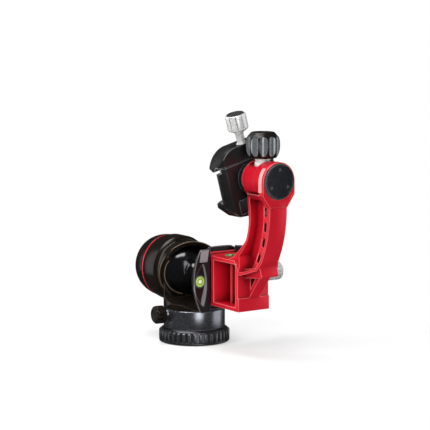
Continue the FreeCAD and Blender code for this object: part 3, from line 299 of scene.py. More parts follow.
FINISHES = {
    "red_anodised": dict(colour=(0.64, 0.005, 0.020), tint=(0.70, 0.008, 0.027), metal=0.35,
        rough=0.33, rough_spread=0.03, grain=0.04, specular=0.42, edge=(1.0, 0.24, 0.25),
        edge_highlight_width=1.3, cavity_shade=0.28),
    "black_anodised": dict(colour=(0.009, 0.008, 0.009), tint=(0.013, 0.012, 0.013), metal=0.1,
        rough=0.38, grain=0.1, specular=0.4, edge=(0.25, 0.245, 0.26), edge_highlight_width=1.4),
    "black_gloss": dict(colour=(0.006, 0.004, 0.003), tint=(0.010, 0.007, 0.005), metal=0.0,
        rough=0.24, rough_spread=0.03, grain=0.006, specular=0.3, edge=(0.05, 0.042, 0.036)),
    "collar_black": dict(colour=(0.006, 0.004, 0.003), tint=(0.010, 0.007, 0.005), metal=0.0,
        rough=0.24, rough_spread=0.03, grain=0.006, specular=0.38, edge=(0.22, 0.165, 0.11),
        edge_highlight_width=1.5),
    "black_ball": dict(colour=(0.002, 0.002, 0.0025), tint=(0.004, 0.004, 0.005), metal=0.0,
        rough=0.15, rough_spread=0.02, grain=0.002, specular=0.8),
    "bronze_black": dict(colour=(0.060, 0.044, 0.030), tint=(0.085, 0.062, 0.042), metal=0.5,
        rough=0.28, grain=0.05, turned=X_AXIS),
    "gunmetal": dict(colour=(0.28, 0.295, 0.33), tint=(0.31, 0.325, 0.36), metal=0.95, rough=0.28,
        rough_spread=0.02, grain=0.004, turned=Z_AXIS),
    "ring_grey": dict(colour=(0.045, 0.047, 0.053), tint=(0.070, 0.072, 0.080), metal=0.8,
        rough=0.32, grain=0.15, rubs=0.15),
    "black_knob": dict(colour=(0.19, 0.205, 0.215), tint=(0.21, 0.225, 0.235), metal=0.6,
        rough=0.28, rough_spread=0.03, grain=0.005),
    "black_cap": dict(colour=(0.008, 0.009, 0.012), tint=(0.012, 0.014, 0.018), metal=0.0,
        rough=0.26, rough_spread=0.04, grain=0.1, rubs=0.05, specular=0.3),
    "red_trim": dict(colour=(0.62, 0.01, 0.04), tint=(0.70, 0.02, 0.05), metal=0.3, rough=0.3,
        grain=0.1),
    "highlight_grey": dict(colour=(0.16, 0.165, 0.18), tint=(0.22, 0.225, 0.24), metal=0.2, rough=0.5,
        grain=0.2),
    "knurl_sheen_grey": dict(colour=(0.34, 0.37, 0.40), tint=(0.44, 0.47, 0.50), metal=0.3, rough=0.4,
        grain=0.2),
    "cap_edge": dict(colour=(0.10, 0.11, 0.12), tint=(0.14, 0.15, 0.16), metal=0.6, rough=0.28,
        grain=0.05),
    "red_highlight": dict(colour=(0.95, 0.28, 0.26), tint=(1.0, 0.38, 0.35), metal=0.1, rough=0.32,
        grain=0.1),
    "ring_tooth": dict(colour=(0.075, 0.078, 0.086), tint=(0.14, 0.145, 0.15), metal=0.8, rough=0.3,
        grain=0.15, rubs=0.25),
    "level_rim": dict(colour=(0.10, 0.14, 0.05), tint=(0.16, 0.20, 0.08), metal=0.4, rough=0.3,
        grain=0.1),
    "silver": dict(colour=(0.74, 0.74, 0.73), tint=(0.88, 0.88, 0.87), metal=0.4, rough=0.26,
        grain=0.015, turned=Z_AXIS),
    "silver_groove_shade": dict(colour=(0.50, 0.51, 0.52), tint=(0.58, 0.59, 0.60), metal=0.6, rough=0.3,
        grain=0.05),
    "silver_bright": dict(colour=(0.95, 0.95, 0.94), tint=(0.98, 0.98, 0.97), metal=0.15, rough=0.2,
        rough_spread=0.03, grain=0.015, turned=Z_AXIS),
    "silver_y": dict(colour=(0.70, 0.70, 0.69), tint=(0.80, 0.80, 0.79), metal=0.6, rough=0.28,
        grain=0.015, turned=Y_AXIS),
    "steel": dict(colour=(0.50, 0.50, 0.50), tint=(0.62, 0.62, 0.61), metal=1.0, rough=0.28,
        grain=0.015, turned=X_AXIS),
    "brass": dict(colour=(0.65, 0.48, 0.2), tint=(0.75, 0.58, 0.26), metal=1.0, rough=0.3,
        grain=0.015, turned=Z_AXIS),
    "nylon": dict(colour=(0.78, 0.77, 0.72), tint=(0.84, 0.83, 0.79), metal=0.0, rough=0.5,
        grain=0.2),
    "rubber": dict(colour=(0.016, 0.016, 0.017), tint=(0.026, 0.026, 0.027), metal=0.0, rough=0.75,
        grain=0.6, grain_scale=1500, specular=0.3),
    "level_green": dict(colour=(0.42, 0.74, 0.14), tint=(0.55, 0.86, 0.22), metal=0.0, rough=0.12,
        rough_spread=0.03, grain=0.02, coat=0.8),
    "level_line": dict(colour=(0.01, 0.015, 0.01), tint=(0.02, 0.02, 0.02), metal=0.0, rough=0.4,
        grain=0.1),
    "level_bubble": dict(colour=(0.86, 0.93, 0.55), tint=(0.92, 0.97, 0.68), metal=0.0, rough=0.08,
        rough_spread=0.02, grain=0.02, coat=1.0),
}
SURFACES = {name: finish(name, **look) for name, look in FINISHES.items()}


# ---- mesh tools -------------------------------------------------------------
WELD = 2e-6               # corners of a CAD mesh nearer than this become one
FLAT = math.radians(0.6)  # faces that turn less than this become one before edges are broken
SLIVER_EDGE = 3e-6        # an edge under this length, and a face under this area, is closed
SLIVER_AREA = 1e-12
LEAST_ISLAND = 4          # fewer faces than this, joined to nothing, are dropped
CASTING_SHARP = 40        # degrees from which an edge shows as sharp, on castings and on the rest
SHARP = 32
CUT_SEEN = 0.12           # least depth of a flute, in mm, whose faces take the cut finish: painted reflection on the tension knob, painted shade on the lens knob
CUT_REACH = 30            # mm to each side of the arm, past its widest


def box_mm(node):
    """A node's box in mm: its low corner and its high one."""
    return [[value / MM for value in corner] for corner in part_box(node)]


def body_of(node):
    for body, nodes in frame["record"]["behaviour"]["bodies"].items():
        if node in nodes:
            return body
    raise KeyError(node)


def place(piece, body, *nodes):
    """Let a body carry a piece, in place of the nodes that it stands for."""
    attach(piece, body)
    if nodes:
        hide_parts(*nodes)
    return piece


def link_mesh(name, mesh):
    piece = bpy.data.objects.new(name, mesh)
    bpy.context.scene.collection.objects.link(piece)
    return piece


def mesh_of(name, work):
    """Make a mesh of what was drawn, with its faces pointing outwards."""
    bmesh.ops.recalc_face_normals(work, faces=work.faces)
    mesh = bpy.data.meshes.new(name)
    work.to_mesh(mesh)
    work.free()
    return mesh


def smooth(mesh, degrees=SHARP):
    for face in mesh.polygons:
        face.use_smooth = True
    mesh.set_sharp_from_angle(angle=math.radians(degrees))


def applied(piece):
    """Make a piece's modifiers real."""
    graph = bpy.context.evaluated_depsgraph_get()
    mesh = bpy.data.meshes.new_from_object(piece.evaluated_get(graph))
    piece.modifiers.clear()
    piece.data = mesh


def loose_faces(work):
    """Faces of islands too small to be part of a shape."""
    left, loose = set(work.faces), []
    while left:
        queue, island = [left.pop()], []
        while queue:
            face = queue.pop()
            island.append(face)
            near = {other for edge in face.edges for other in edge.link_faces} & left
            left -= near
            queue += near
        if len(island) < LEAST_ISLAND:
            loose += island
    return loose


def without_slivers(mesh):
    """Close faces that have no area, and drop those that hang on nothing."""
    work = bmesh.new()
    work.from_mesh(mesh)
    bmesh.ops.triangulate(work, faces=work.faces)
    bmesh.ops.dissolve_degenerate(work, dist=SLIVER_EDGE, edges=work.edges)
    flat = [face for face in work.faces if face.calc_area() < SLIVER_AREA]
    bmesh.ops.delete(work, geom=flat, context="FACES")
    bmesh.ops.delete(work, geom=loose_faces(work), context="FACES")
    work.to_mesh(mesh)
    work.free()


def softened(node, width, surface, angle=32, segments=2):
    """A copy of a CAD node to stand for it, with edges sharper than angle broken by width mm."""
    mesh = frame["nodes"][node].data.copy()
    work = bmesh.new()
    work.from_mesh(mesh)
    bmesh.ops.remove_doubles(work, verts=work.verts, dist=WELD)
    bmesh.ops.dissolve_limit(work, angle_limit=FLAT, verts=work.verts, edges=work.edges)
    bmesh.ops.recalc_face_normals(work, faces=work.faces)
    work.to_mesh(mesh)
    work.free()
    mesh.materials.clear()
    mesh.materials.append(surface)
    for face in mesh.polygons:
        face.material_index = 0
    piece = link_mesh(node + "_finished", mesh)
    bevel = piece.modifiers.new("edges", "BEVEL")
    bevel.width = width * MM
    bevel.segments = segments
    bevel.limit_method = "ANGLE"
    bevel.angle_limit = math.radians(angle)
    applied(piece)
    without_slivers(piece.data)
    smooth(piece.data, CASTING_SHARP)
    return place(piece, body_of(node), node)


def carve(piece, outline, start, end):
    """Cut a bar out of a piece; outline is its (Y, Z) section in mm, from X start to X end."""
    work = bmesh.new()
    ends = [[work.verts.new(Vector((x, y, z)) * MM) for y, z in outline] for x in (start, end)]
    for index in range(len(outline)):
        after = (index + 1) % len(outline)
        work.faces.new((ends[0][index], ends[0][after], ends[1][after], ends[1][index]))
    for face in ends:
        work.faces.new(face)
    cutter = link_mesh("cutter", mesh_of("cutter", work))
    cut = piece.modifiers.new("cut", "BOOLEAN")
    cut.operation = "DIFFERENCE"
    cut.object = cutter
    applied(piece)
    bpy.data.objects.remove(cutter)


def stepped(profile, longest):
    """The same profile with no step longer than this along the axis, in mm."""
    points = [profile[0]]
    for (z0, r0), (z1, r1) in zip(profile, profile[1:]):
        parts = max(1, math.ceil(abs(z1 - z0) / longest))
        points += [(z0 + (z1 - z0) * k / parts, r0 + (r1 - r0) * k / parts)
                   for k in range(1, parts + 1)]
    return points


def rounded(points, radius, arc=4):
    """Profile with its inner corners rounded off, all sizes in mm."""
    out = [points[0]]
    for before, here, after in zip(points, points[1:], points[2:]):
        a = Vector(before) - Vector(here)
        b = Vector(after) - Vector(here)
        reach = min(radius, a.length * 0.45, b.length * 0.45)
        if reach < 0.02:
            out.append(here)
            continue
        start = Vector(here) + a.normalized() * reach
        end = Vector(here) + b.normalized() * reach
        for index in range(arc + 1):
            t = index / arc
            point = start * (1 - t) ** 2 + Vector(here) * (2 * t * (1 - t)) + end * t ** 2
            out.append((point.x, point.y))
    out.append(points[-1])
    return out


def scallops(radius, count, cut_radius, depth, share=None):
    """Flute law for a grip whose edge is cut by round scallops, all sizes in mm.

    share(distance), if given, is how much of the cut is made there along the axis, from 0 to 1."""
    reach = radius + cut_radius - depth
    pitch = 2 * math.pi / count

    def cut(angle, distance, here):
        off = (angle + pitch / 2) % pitch - pitch / 2
        inside = cut_radius ** 2 - (reach * math.sin(off)) ** 2
        if inside <= 0:
            return 0.0
        wall = reach * math.cos(off) - math.sqrt(inside)
        return max(0.0, here - wall) * (share(distance) if share else 1.0)
    return cut


def lathe(name, profile, origin, axis, surface, steps=96, flute=None, cut_surface=None):
    """Closed turned piece; profile is (distance along axis, radius) in mm, end to end.

    flute(angle, distance, radius) is how far the surface is cut in there, in mm; cut_surface, if
    given, is the finish of what it cuts."""
    work = bmesh.new()
    rings, cut_corners = [], set()
    for distance, radius in profile:
        if radius < 1e-6:
            rings.append([work.verts.new((0, 0, distance * MM))])
            continue
        ring = []
        for index in range(steps):
            angle = 2 * math.pi * index / steps
            depth = flute(angle, distance, radius) if flute else 0.0
            r = (radius - depth) * MM
            corner = work.verts.new((r * math.cos(angle), r * math.sin(angle), distance * MM))
            ring.append(corner)
            if depth > CUT_SEEN:
                cut_corners.add(corner)
        rings.append(ring)
    for low, high in zip(rings, rings[1:]):
        for index in range(steps):
            after = (index + 1) % steps
            corners = list(dict.fromkeys([
                low[index % len(low)], low[after % len(low)],
                high[after % len(high)], high[index % len(high)]]))
            if len(corners) > 2:
                face = work.faces.new(corners)
                face.material_index = int(bool(cut_surface) and cut_corners.issuperset(corners))
    bmesh.ops.remove_doubles(work, verts=work.verts, dist=1e-7)
    mesh = mesh_of(name, work)
    turn = Z_AXIS.rotation_difference(Vector(axis).normalized()).to_matrix().to_4x4()
    mesh.transform(Matrix.Translation(Vector(origin)) @ turn)
    mesh.materials.append(surface)
    if cut_surface:
        mesh.materials.append(cut_surface)
    smooth(mesh)
    return link_mesh(name, mesh)


# ---- repeated details, made by node trees -----------------------------------
def new_tree(name, **inputs):
    """Empty node tree with one geometry output and inputs: name, with _ for a space, and kind."""
    tree = bpy.data.node_groups.new(name, "GeometryNodeTree")
    tree.interface.new_socket("Geometry", in_out="OUTPUT", socket_type="NodeSocketGeometry")
    tree.interface.new_socket("Geometry", in_out="INPUT", socket_type="NodeSocketGeometry")
    for label, kind in inputs.items():
        tree.interface.new_socket(label.replace("_", " "), in_out="INPUT",
                                  socket_type="NodeSocket" + kind)
    return tree, tree.nodes.new("NodeGroupInput"), tree.nodes.new("NodeGroupOutput")


def finish_tree(tree, given, output, instances):
    """Make the instances real, give them their finish and send them out."""
    real = tree.nodes.new("GeometryNodeRealizeInstances")
    painted = tree.nodes.new("GeometryNodeSetMaterial")
    tree.links.new(instances, real.inputs[0])
    tree.links.new(real.outputs[0], painted.inputs["Geometry"])
    tree.links.new(given.outputs["Finish"], painted.inputs["Material"])
    tree.links.new(painted.outputs[0], output.inputs[0])
    return tree


def socket_screw_tree():
    """A hexagon-socket screw head on every point, facing along one axis."""
    tree, given, output = new_tree("socket_screws", Head_Radius="Float", Head_Height="Float",
                                   Socket_Radius="Float", Axis="Vector", Finish="Material")
    nodes, links = tree.nodes, tree.links
    radius, height = given.outputs["Head Radius"], given.outputs["Head Height"]
    head = nodes.new("GeometryNodeMeshCone")
    head.inputs["Vertices"].default_value = 40
    links.new(tree_math(tree, "MULTIPLY", radius, 0.93), head.inputs["Radius Top"])
    links.new(radius, head.inputs["Radius Bottom"])
    links.new(height, head.inputs["Depth"])
    sink = nodes.new("GeometryNodeTransform")
    links.new(head.outputs["Mesh"], sink.inputs["Geometry"])
    drop = tree_math(tree, "MULTIPLY", height, -1.0)
    links.new(tree_vector(tree, z=drop), sink.inputs["Translation"])
    socket = nodes.new("GeometryNodeMeshCylinder")
    socket.inputs["Vertices"].default_value = 6
    links.new(given.outputs["Socket Radius"], socket.inputs["Radius"])
    links.new(tree_math(tree, "MULTIPLY", height, 1.3), socket.inputs["Depth"])
    bore = nodes.new("GeometryNodeMeshBoolean")
    bore.operation = "DIFFERENCE"
    links.new(sink.outputs[0], bore.inputs["Mesh 1"])
    links.new(socket.outputs["Mesh"], bore.inputs["Mesh 2"])
    face = nodes.new("FunctionNodeAlignRotationToVector")
    face.axis = "Z"
    links.new(given.outputs["Axis"], face.inputs["Vector"])
    copies = nodes.new("GeometryNodeInstanceOnPoints")
    links.new(given.outputs["Geometry"], copies.inputs["Points"])
    links.new(bore.outputs["Mesh"], copies.inputs["Instance"])
    links.new(face.outputs["Rotation"], copies.inputs["Rotation"])
    return finish_tree(tree, given, output, copies.outputs[0])


def grip_teeth_tree():
    """Upright teeth round a ring, their tops sloping in."""
    tree, given, output = new_tree("grip_teeth", Count="Int", Root_Radius="Float", Depth="Float",
                                   Width="Float", Bottom="Float", Height="Float", Slope="Float",
                                   Finish="Material")
    nodes, links = tree.nodes, tree.links
    depth = tree_math(tree, "ADD", given.outputs["Depth"], TOOTH_SUNK * MM)
    tooth = nodes.new("GeometryNodeMeshCube")
    links.new(tree_vector(tree, depth, given.outputs["Width"], given.outputs["Height"]),
              tooth.inputs["Size"])
    spot = nodes.new("GeometryNodeInputPosition")
    split = nodes.new("ShaderNodeSeparateXYZ")
    links.new(spot.outputs[0], split.inputs[0])
    outer = tree_math(tree, "GREATER_THAN", split.outputs["X"], 0.0)
    upper = tree_math(tree, "GREATER_THAN", split.outputs["Z"], 0.0)
    fall = tree_math(tree, "MULTIPLY", tree_math(tree, "MULTIPLY", outer, upper),
                     given.outputs["Slope"])
    slope = nodes.new("GeometryNodeSetPosition")
    links.new(tooth.outputs["Mesh"], slope.inputs["Geometry"])
    links.new(tree_vector(tree, z=tree_math(tree, "MULTIPLY", fall, -1.0)), slope.inputs["Offset"])
    move = nodes.new("GeometryNodeTransform")
    links.new(slope.outputs[0], move.inputs["Geometry"])
    reach = tree_math(tree, "ADD", given.outputs["Root Radius"], given.outputs["Depth"])
    reach = tree_math(tree, "SUBTRACT", reach, tree_math(tree, "MULTIPLY", depth, 0.5))
    height = tree_math(tree, "MULTIPLY", given.outputs["Height"], 0.5)
    middle = tree_math(tree, "ADD", given.outputs["Bottom"], height)
    links.new(tree_vector(tree, reach, 0.0, middle), move.inputs["Translation"])
    points = nodes.new("GeometryNodePoints")
    links.new(given.outputs["Count"], points.inputs["Count"])
    index = nodes.new("GeometryNodeInputIndex")
    step = tree_math(tree, "DIVIDE", 2 * math.pi, given.outputs["Count"])
    angle = tree_math(tree, "MULTIPLY", tree_math(tree, "ADD", index.outputs[0], 0.5), step)
    copies = nodes.new("GeometryNodeInstanceOnPoints")
    links.new(points.outputs[0], copies.inputs["Points"])
    links.new(move.outputs[0], copies.inputs["Instance"])
    links.new(tree_vector(tree, z=angle), copies.inputs["Rotation"])
    return finish_tree(tree, given, output, copies.outputs[0])


def grown(name, tree, points, settings, bevel=0.0):
    """Plain mesh grown by a node tree from points, with its inputs set by name."""
    mesh = bpy.data.meshes.new(name)
    mesh.from_pydata([tuple(point) for point in points], [], [])
    piece = link_mesh(name, mesh)
    maker = piece.modifiers.new("maker", "NODES")
    maker.node_group = tree
    for item in tree.interface.items_tree:
        if item.in_out == "INPUT" and item.name in settings:
            maker[item.identifier] = settings[item.name]
    if bevel:
        edges = piece.modifiers.new("edges", "BEVEL")
        edges.width = bevel
        edges.segments = 2
    applied(piece)
    smooth(piece.data)
    return piece


def screws(name, points, axis, head, surface):
    """Socket-head screws at points; head is radius, height and socket radius in mm."""
    radius, height, socket = head
    return grown(name, SCREW_TREE, points, {
        "Head Radius": radius * MM, "Head Height": height * MM, "Socket Radius": socket * MM,
        "Axis": tuple(axis), "Finish": SURFACES[surface]})


SCREW_TREE = socket_screw_tree()


# ---- base and turret --------------------------------------------------------
TEETH = 38
TOOTH_DEEP = 2.0          # mm, as the teeth's other sizes
TOOTH_SUNK = 0.6          # how far their roots reach into the ring
TOOTH_WIDE = 3.1
TOOTH_LOW = 2.9           # where they start, over the ring's lower face
TOOTH_SLOPE = 1.6         # how much their tops fall outwards
BALL_STEPS = 48
BALL_END = 0.47           # angle from the stem's axis at which the ball runs into its neck
EGG_STEPS = 14


def panning_base():
    """Ring with its grip teeth, the drum over it and the plate inside it."""
    low, high = box_mm("grip_ring")
    rim, top = high[0], high[2]
    root = rim - TOOTH_DEEP
    inner = -box_mm("base_plate")[0][0]
    drum = box_mm("base_drum")[1][0]
    shelf = top - (root - drum) * 0.7
    outline = [(3, inner), (0, inner), (0, rim - 1), (1, rim), (2.6, rim), (3.1, root),
               (shelf, root), (top, drum), (top, inner), (3, inner)]
    ring = lathe("ring_body", rounded(outline, 0.5), (0, 0, low[2] * MM), Z_AXIS,
                 SURFACES["ring_grey"], 144)
    place(ring, "base", "grip_ring")
    teeth = grown("ring_teeth", grip_teeth_tree(), [(0, 0, 0)], {
        "Count": TEETH, "Root Radius": root * MM, "Depth": TOOTH_DEEP * MM,
        "Width": TOOTH_WIDE * MM, "Bottom": TOOTH_LOW * MM, "Height": (shelf - TOOTH_LOW) * MM,
        "Slope": TOOTH_SLOPE * MM, "Finish": SURFACES["ring_tooth"]}, 0.4 * MM)
    place(teeth, "base")
    softened("base_drum", 0.5, SURFACES["gunmetal"])
    frame["nodes"]["base_plate"].data.materials[0] = SURFACES["gunmetal"]


def small_knob(joint, node):
    """Small scalloped knob on the drum."""
    axis = JOINTS[joint]["axis"]
    start = Vector(JOINTS[joint]["pos_m"]) + Vector(axis) * 0.6 * MM
    profile = [(0, 0), (0, 7.3), (2, 9.8), (11, 9.8), (13, 7.8), (13, 5.2), (12.2, 4.6), (12.2, 0)]
    knob = lathe(node + "_grip", rounded(profile, 0.7), start, axis, SURFACES["black_gloss"],
                 160, scallops(9.8, 10, 2.2, 1.1))
    place(knob, body_of(node), node)


def turret():
    softened("turret_housing", 0.8, SURFACES["black_gloss"], segments=3)
    softened("front_collar", 0.6, SURFACES["collar_black"])
    polished_ball()
    small_knob("pan_lock_turn", "pan_lock_knob")
    small_knob("friction_turn", "friction_knob")
    lock_knob()


def polished_ball():
    """Ball and stem in one turned piece, out to the clamp."""
    swing = Vector(JOINTS["ball_swing"]["pos_m"])
    low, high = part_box("ball_stem")
    radius = (swing.x - low[0]) / MM
    length = (high[0] - swing.x) / MM
    clamp = (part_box("clamp_base")[0][0] - swing.x) / MM
    profile = [(-radius, 0.0)]
    for index in range(1, BALL_STEPS):
        angle = math.pi - index * (math.pi - BALL_END) / BALL_STEPS
        profile.append((radius * math.cos(angle), radius * math.sin(angle)))
    neck = [(radius - 3, 12.0), (radius - 1.5, 10.5), (radius + 1.5, 8.6), (radius + 5, 8.0),
            (clamp - 6, 8.6), (clamp, 11.4), (clamp, 8.0), (length, 8.0), (length, 0)]
    ball = lathe("polished_ball", profile + rounded(neck, 1.2), swing, X_AXIS,
                 SURFACES["black_ball"], 128)
    place(ball, "ball", "ball_stem")


def lock_knob():
    """Egg-shaped knob with shallow flutes that fade toward its skirt."""
    joint = JOINTS["ball_lock_turn"]
    low, high = box_mm("ball_lock_knob")
    r = (high[1] - low[1]) / 2
    length = high[0] - low[0]
    profile = [(4.4, 0), (4.4, 29.9), (0, 29.9), (0, r - 0.6), (0.7, r)]
    for index in range(EGG_STEPS + 1):
        angle = math.radians(4 + 76 * index / EGG_STEPS)
        profile.append((length * math.sin(angle) ** 1.1,
                        r * (0.36 + 0.64 * math.cos(angle) ** 0.55)))
    profile += [(length, r * 0.58), (length, 12), (length - 0.8, 11), (length - 0.8, 0)]
    flutes = scallops(r, 14, 4.0, 0.8, lambda distance: min(1, max(0, (distance - 3) / 5)))
    knob = lathe("egg_knob", profile, joint["pos_m"], joint["axis"], SURFACES["black_gloss"], 168,
                 flutes)
    place(knob, "ball_lock", "ball_lock_knob")


# ---- levels and quick-release clamp -----------------------------------------
SLOPE_STEPS = 32          # painted highlight along the slope inside the clamp's sunk face; its sizes are in mm
SLOPE_HALF = 22.6         # half its height
SLOPE_UNDER = 4.0         # how far its middle lies under the stem's axis
SLOPE_OUT = 16.2          # from the clamp's near side to the edge's middle
SLOPE_BOW = 4.2           # how much nearer to that side its ends come
SLOPE_DEEP = 1.3
PATCH_ROWS = 11           # knurled patch: rows, studs in a row, and mm between both
PATCH_COLUMNS = 9
ROW_PITCH = 1.15
STUD_PITCH = 1.1
PATCH_LEAN = 0.16         # how far its sides lean, mm for each mm of height


def round_level(name, axis):
    """Round spirit level: dish, green fluid domed under a glassy coat, ring line and bubble."""
    dish = name + "_dish"
    low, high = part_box(dish)
    size = Vector(high) - Vector(low)
    across = Vector((1, 1, 1)) - Vector(axis)
    radius = max(c * s for c, s in zip(size, across)) / 2 / MM
    thick = max(c * s for c, s in zip(size, axis)) / MM
    origin = (Vector(low) + Vector(high)) / 2 - Vector(axis) * thick / 2 * MM
    wall = radius - 1
    cup = [(0, 0), (0, radius), (thick - 0.5, radius), (thick, radius - 0.5), (thick, wall + 0.1),
           (thick - 0.5, wall - 0.1), (0.8, wall - 0.1), (0.8, 0)]
    fluid = [(0.8, 0), (0.8, wall - 0.15), (thick - 0.6, wall - 0.15),
             (thick - 0.35, wall - 1.2), (thick - 0.2, 0)]
    ring = [(thick - 0.30, wall * 0.52), (thick - 0.14, wall * 0.52), (thick - 0.14, wall * 0.62),
            (thick - 0.30, wall * 0.62), (thick - 0.30, wall * 0.52)]
    bubble = [(thick - 0.25, 0), (thick - 0.25, wall * 0.36), (thick - 0.08, wall * 0.30),
              (thick - 0.02, 0)]
    for part, profile, surface, steps, nodes in (
            ("_dish", rounded(cup, 0.3), "level_rim", 64, [dish]),
            ("_fluid", fluid, "level_green", 64, [name + "_vial"]),
            ("_line", ring, "level_line", 64, []),
            ("_bubble", bubble, "level_bubble", 48, [])):
        piece = lathe(name + part, profile, origin, axis, SURFACES[surface], steps)
        place(piece, body_of(dish), *nodes)


def clamp_face():
    """Sloping inner edge of the sunk face, painted as a highlight, and the knurled patch at its upper end."""
    low, high = box_mm("clamp_base")
    face = high[0] - 0.05
    near = low[1]
    centre = JOINTS["stem_roll"]["pos_m"][2] / MM
    outer, inner, behind = [], [], []
    for index in range(SLOPE_STEPS + 1):
        t = index / SLOPE_STEPS * 2 - 1
        y = near + SLOPE_OUT - SLOPE_BOW * t * t
        z = centre - SLOPE_UNDER + t * SLOPE_HALF
        wide = 1.0 + 3.2 * min(1, max(0, 0.35 - t)) - 2.2 * max(0, -t) ** 6
        outer.append((face, y, z))
        inner.append((face - SLOPE_DEEP, y - wide, z))
        behind.append((face - SLOPE_DEEP, y, z))
    work = bmesh.new()
    rows = [[work.verts.new(Vector(point) * MM) for point in row] for row in (outer, inner, behind)]
    for index in range(SLOPE_STEPS):
        for a, b in ((0, 1), (1, 2), (2, 0)):
            work.faces.new((rows[a][index], rows[a][index + 1], rows[b][index + 1], rows[b][index]))
    for end in (0, -1):
        work.faces.new([row[end] for row in rows])
    mesh = mesh_of("face_slope", work)
    # painted highlight: the slope is a light grey strip on the dark clamp
    mesh.materials.append(SURFACES["highlight_grey"])
    smooth(mesh)
    place(link_mesh("face_slope", mesh), "arm")
    points = []
    for row in range(PATCH_ROWS):
        up = row * ROW_PITCH
        for column in range(PATCH_COLUMNS):
            along = near + 7.8 + column * STUD_PITCH + PATCH_LEAN * up
            points.append(Vector((face + 0.3, along, centre + 21.2 + up)) * MM)
    # light grey studs: a real knurl, their paleness partly a painted reflection
    place(screws("grip_patch", points, X_AXIS, (0.62, 0.3, 0.2), "knurl_sheen_grey"), "arm")


def clamp_grip():
    """Bright knob on a long neck, with a plain waist before its grip."""
    joint = JOINTS["clamp_knob_turn"]
    low, high = box_mm("clamp_knob")
    r = (high[2] - low[2]) / 2
    end = high[1] - low[1]
    neck = end - 24
    profile = [(0, 0), (0, 5.4), (0.6, 6), (neck - 2.6, 6), (neck - 0.4, r - 1.8), (neck, r - 1),
               (neck + 1, r), (neck + 4.4, r), (neck + 5, r - 0.7), (neck + 6, r - 0.7),
               (neck + 6.6, r), (end - 1.4, r), (end, r - 1.4), (end, 6.4), (end - 0.8, 5.8),
               (end - 0.8, 0)]
    flutes = scallops(r, 24, 1.1, 0.35, lambda distance: distance > neck + 6.5)
    knob = lathe("clamp_grip", rounded(profile, 0.4), joint["pos_m"], joint["axis"],
                 SURFACES["silver_y"], 240, flutes)
    place(knob, "clamp_turner", "clamp_knob")


# ---- lens clamp's knob, and the tension knob --------------------------------
def lens_grip():
    """Bright fluted knob on a slim stem, with a rubber cap in its top."""
    joint = JOINTS["lens_knob_turn"]
    axis = Vector(joint["axis"])
    start = Vector(joint["pos_m"]) - axis * 2.8 * MM
    profile = [(0, 0), (0, 6.0), (1.4, 4.7), (2.2, 4.4), (11.4, 4.4), (12.4, 5.2), (14.8, 9.6),
               (15.3, 10.4), (16.4, 11), (30.8, 11), (32, 10.2), (32, 9.6), (30.6, 9.4), (30.6, 0)]
    flutes = scallops(11, 10, 1.3, 0.4, lambda distance: distance > 14)
    # painted shade: the flutes take a darker silver than the knob
    knob = lathe("lens_grip", rounded(profile, 0.6), start, axis, SURFACES["silver"], 400, flutes,
                 SURFACES["silver_groove_shade"])
    place(knob, "lens_turner", "lens_knob")
    ribs = [(30.6, 0), (30.6, 9.3), (32.2, 9.3), (33, 8.5), (33, 7.6), (32.7, 7.2), (33, 6.8),
            (33, 5.2), (32.7, 4.8), (33, 4.4), (33, 0)]
    cap = lathe("lens_grip_cap", rounded(ribs, 0.3), start, axis, SURFACES["rubber"], 96)
    place(cap, "lens_turner", "lens_knob_cap")


def tension_grip():
    """Scalloped black knob with a bevelled crown, over a two-step bright collar."""
    low, high = box_mm("tension_knob")
    x = (low[0] + high[0]) / 2
    tall = high[2] - low[2]
    r = (high[1] - low[1]) / 2
    profile = [(0, 0), (0, r - 4.6), (0.7, r - 3.6), (3, r - 2.0), (6, r - 0.9), (9.5, r - 0.2),
               (13, r), (17, r - 0.1), (20.5, r - 0.8), (21.6, r - 1.2), (24.6, r - 4.0),
               (26.4, r - 5.4), (tall, r - 6.6), (tall, 6.4), (tall - 0.6, 5.8), (tall - 0.6, 0)]
    flutes = scallops(r, 11, 6.6, 2.6, lambda distance: distance < tall - 3.5)
    knob = lathe("tension_grip", stepped(rounded(profile, 0.9), 0.4), Vector((x, 0, low[2])) * MM,
                 # painted reflection: the deep flute facets take a grey metal finish against the black crown and
                 # ridges
                 Z_AXIS, SURFACES["black_gloss"], 660, flutes, SURFACES["black_knob"])
    place(knob, "tension", "tension_knob")
    seat = Vector((x, 0, box_mm("tension_collar")[0][2])) * MM
    steps = [(0, 0), (0, 8.4), (4.6, 8.4), (5.2, 7.4), (6.4, 7.4), (7.0, 8.5), (8.6, 8.5), (8.6, 0)]
    knurl = scallops(8.5, 24, 0.9, 0.3, lambda distance: distance > 6.6)
    collar = lathe("bright_collar", rounded(steps, 0.35), seat, Z_AXIS, SURFACES["silver_bright"],
                   384, knurl)
    place(collar, "tension", "tension_collar")


# ---- hub --------------------------------------------------------------------
FACET_RADIUS = 20.4       # facet painted as a highlight on the side of the hub's square end, mm from the tilt axis
FACET_END = 0.6           # its outer edge, mm from the back of the cap
FACET_WIDE = 5.4
FACET_FROM = -31.0        # degrees above the tilt axis, on the near side
FACET_TO = 44
FACET_STEPS = 16
HUB_RADIUS = 19.6
ROOT_FROM = 110.0         # the arm's root under the hub is trimmed from this X to the next, mm
ROOT_TO = 121.5           # the flare is whole beyond it
ROOT_HALF = 11.3          # half the width that the trim leaves
ROOT_LOW = 158.0
ROOT_TOP = 177.0
ROOT_STEPS = 6
COLLAR_GAP = 0.7          # beside the tension collar in its milled seat


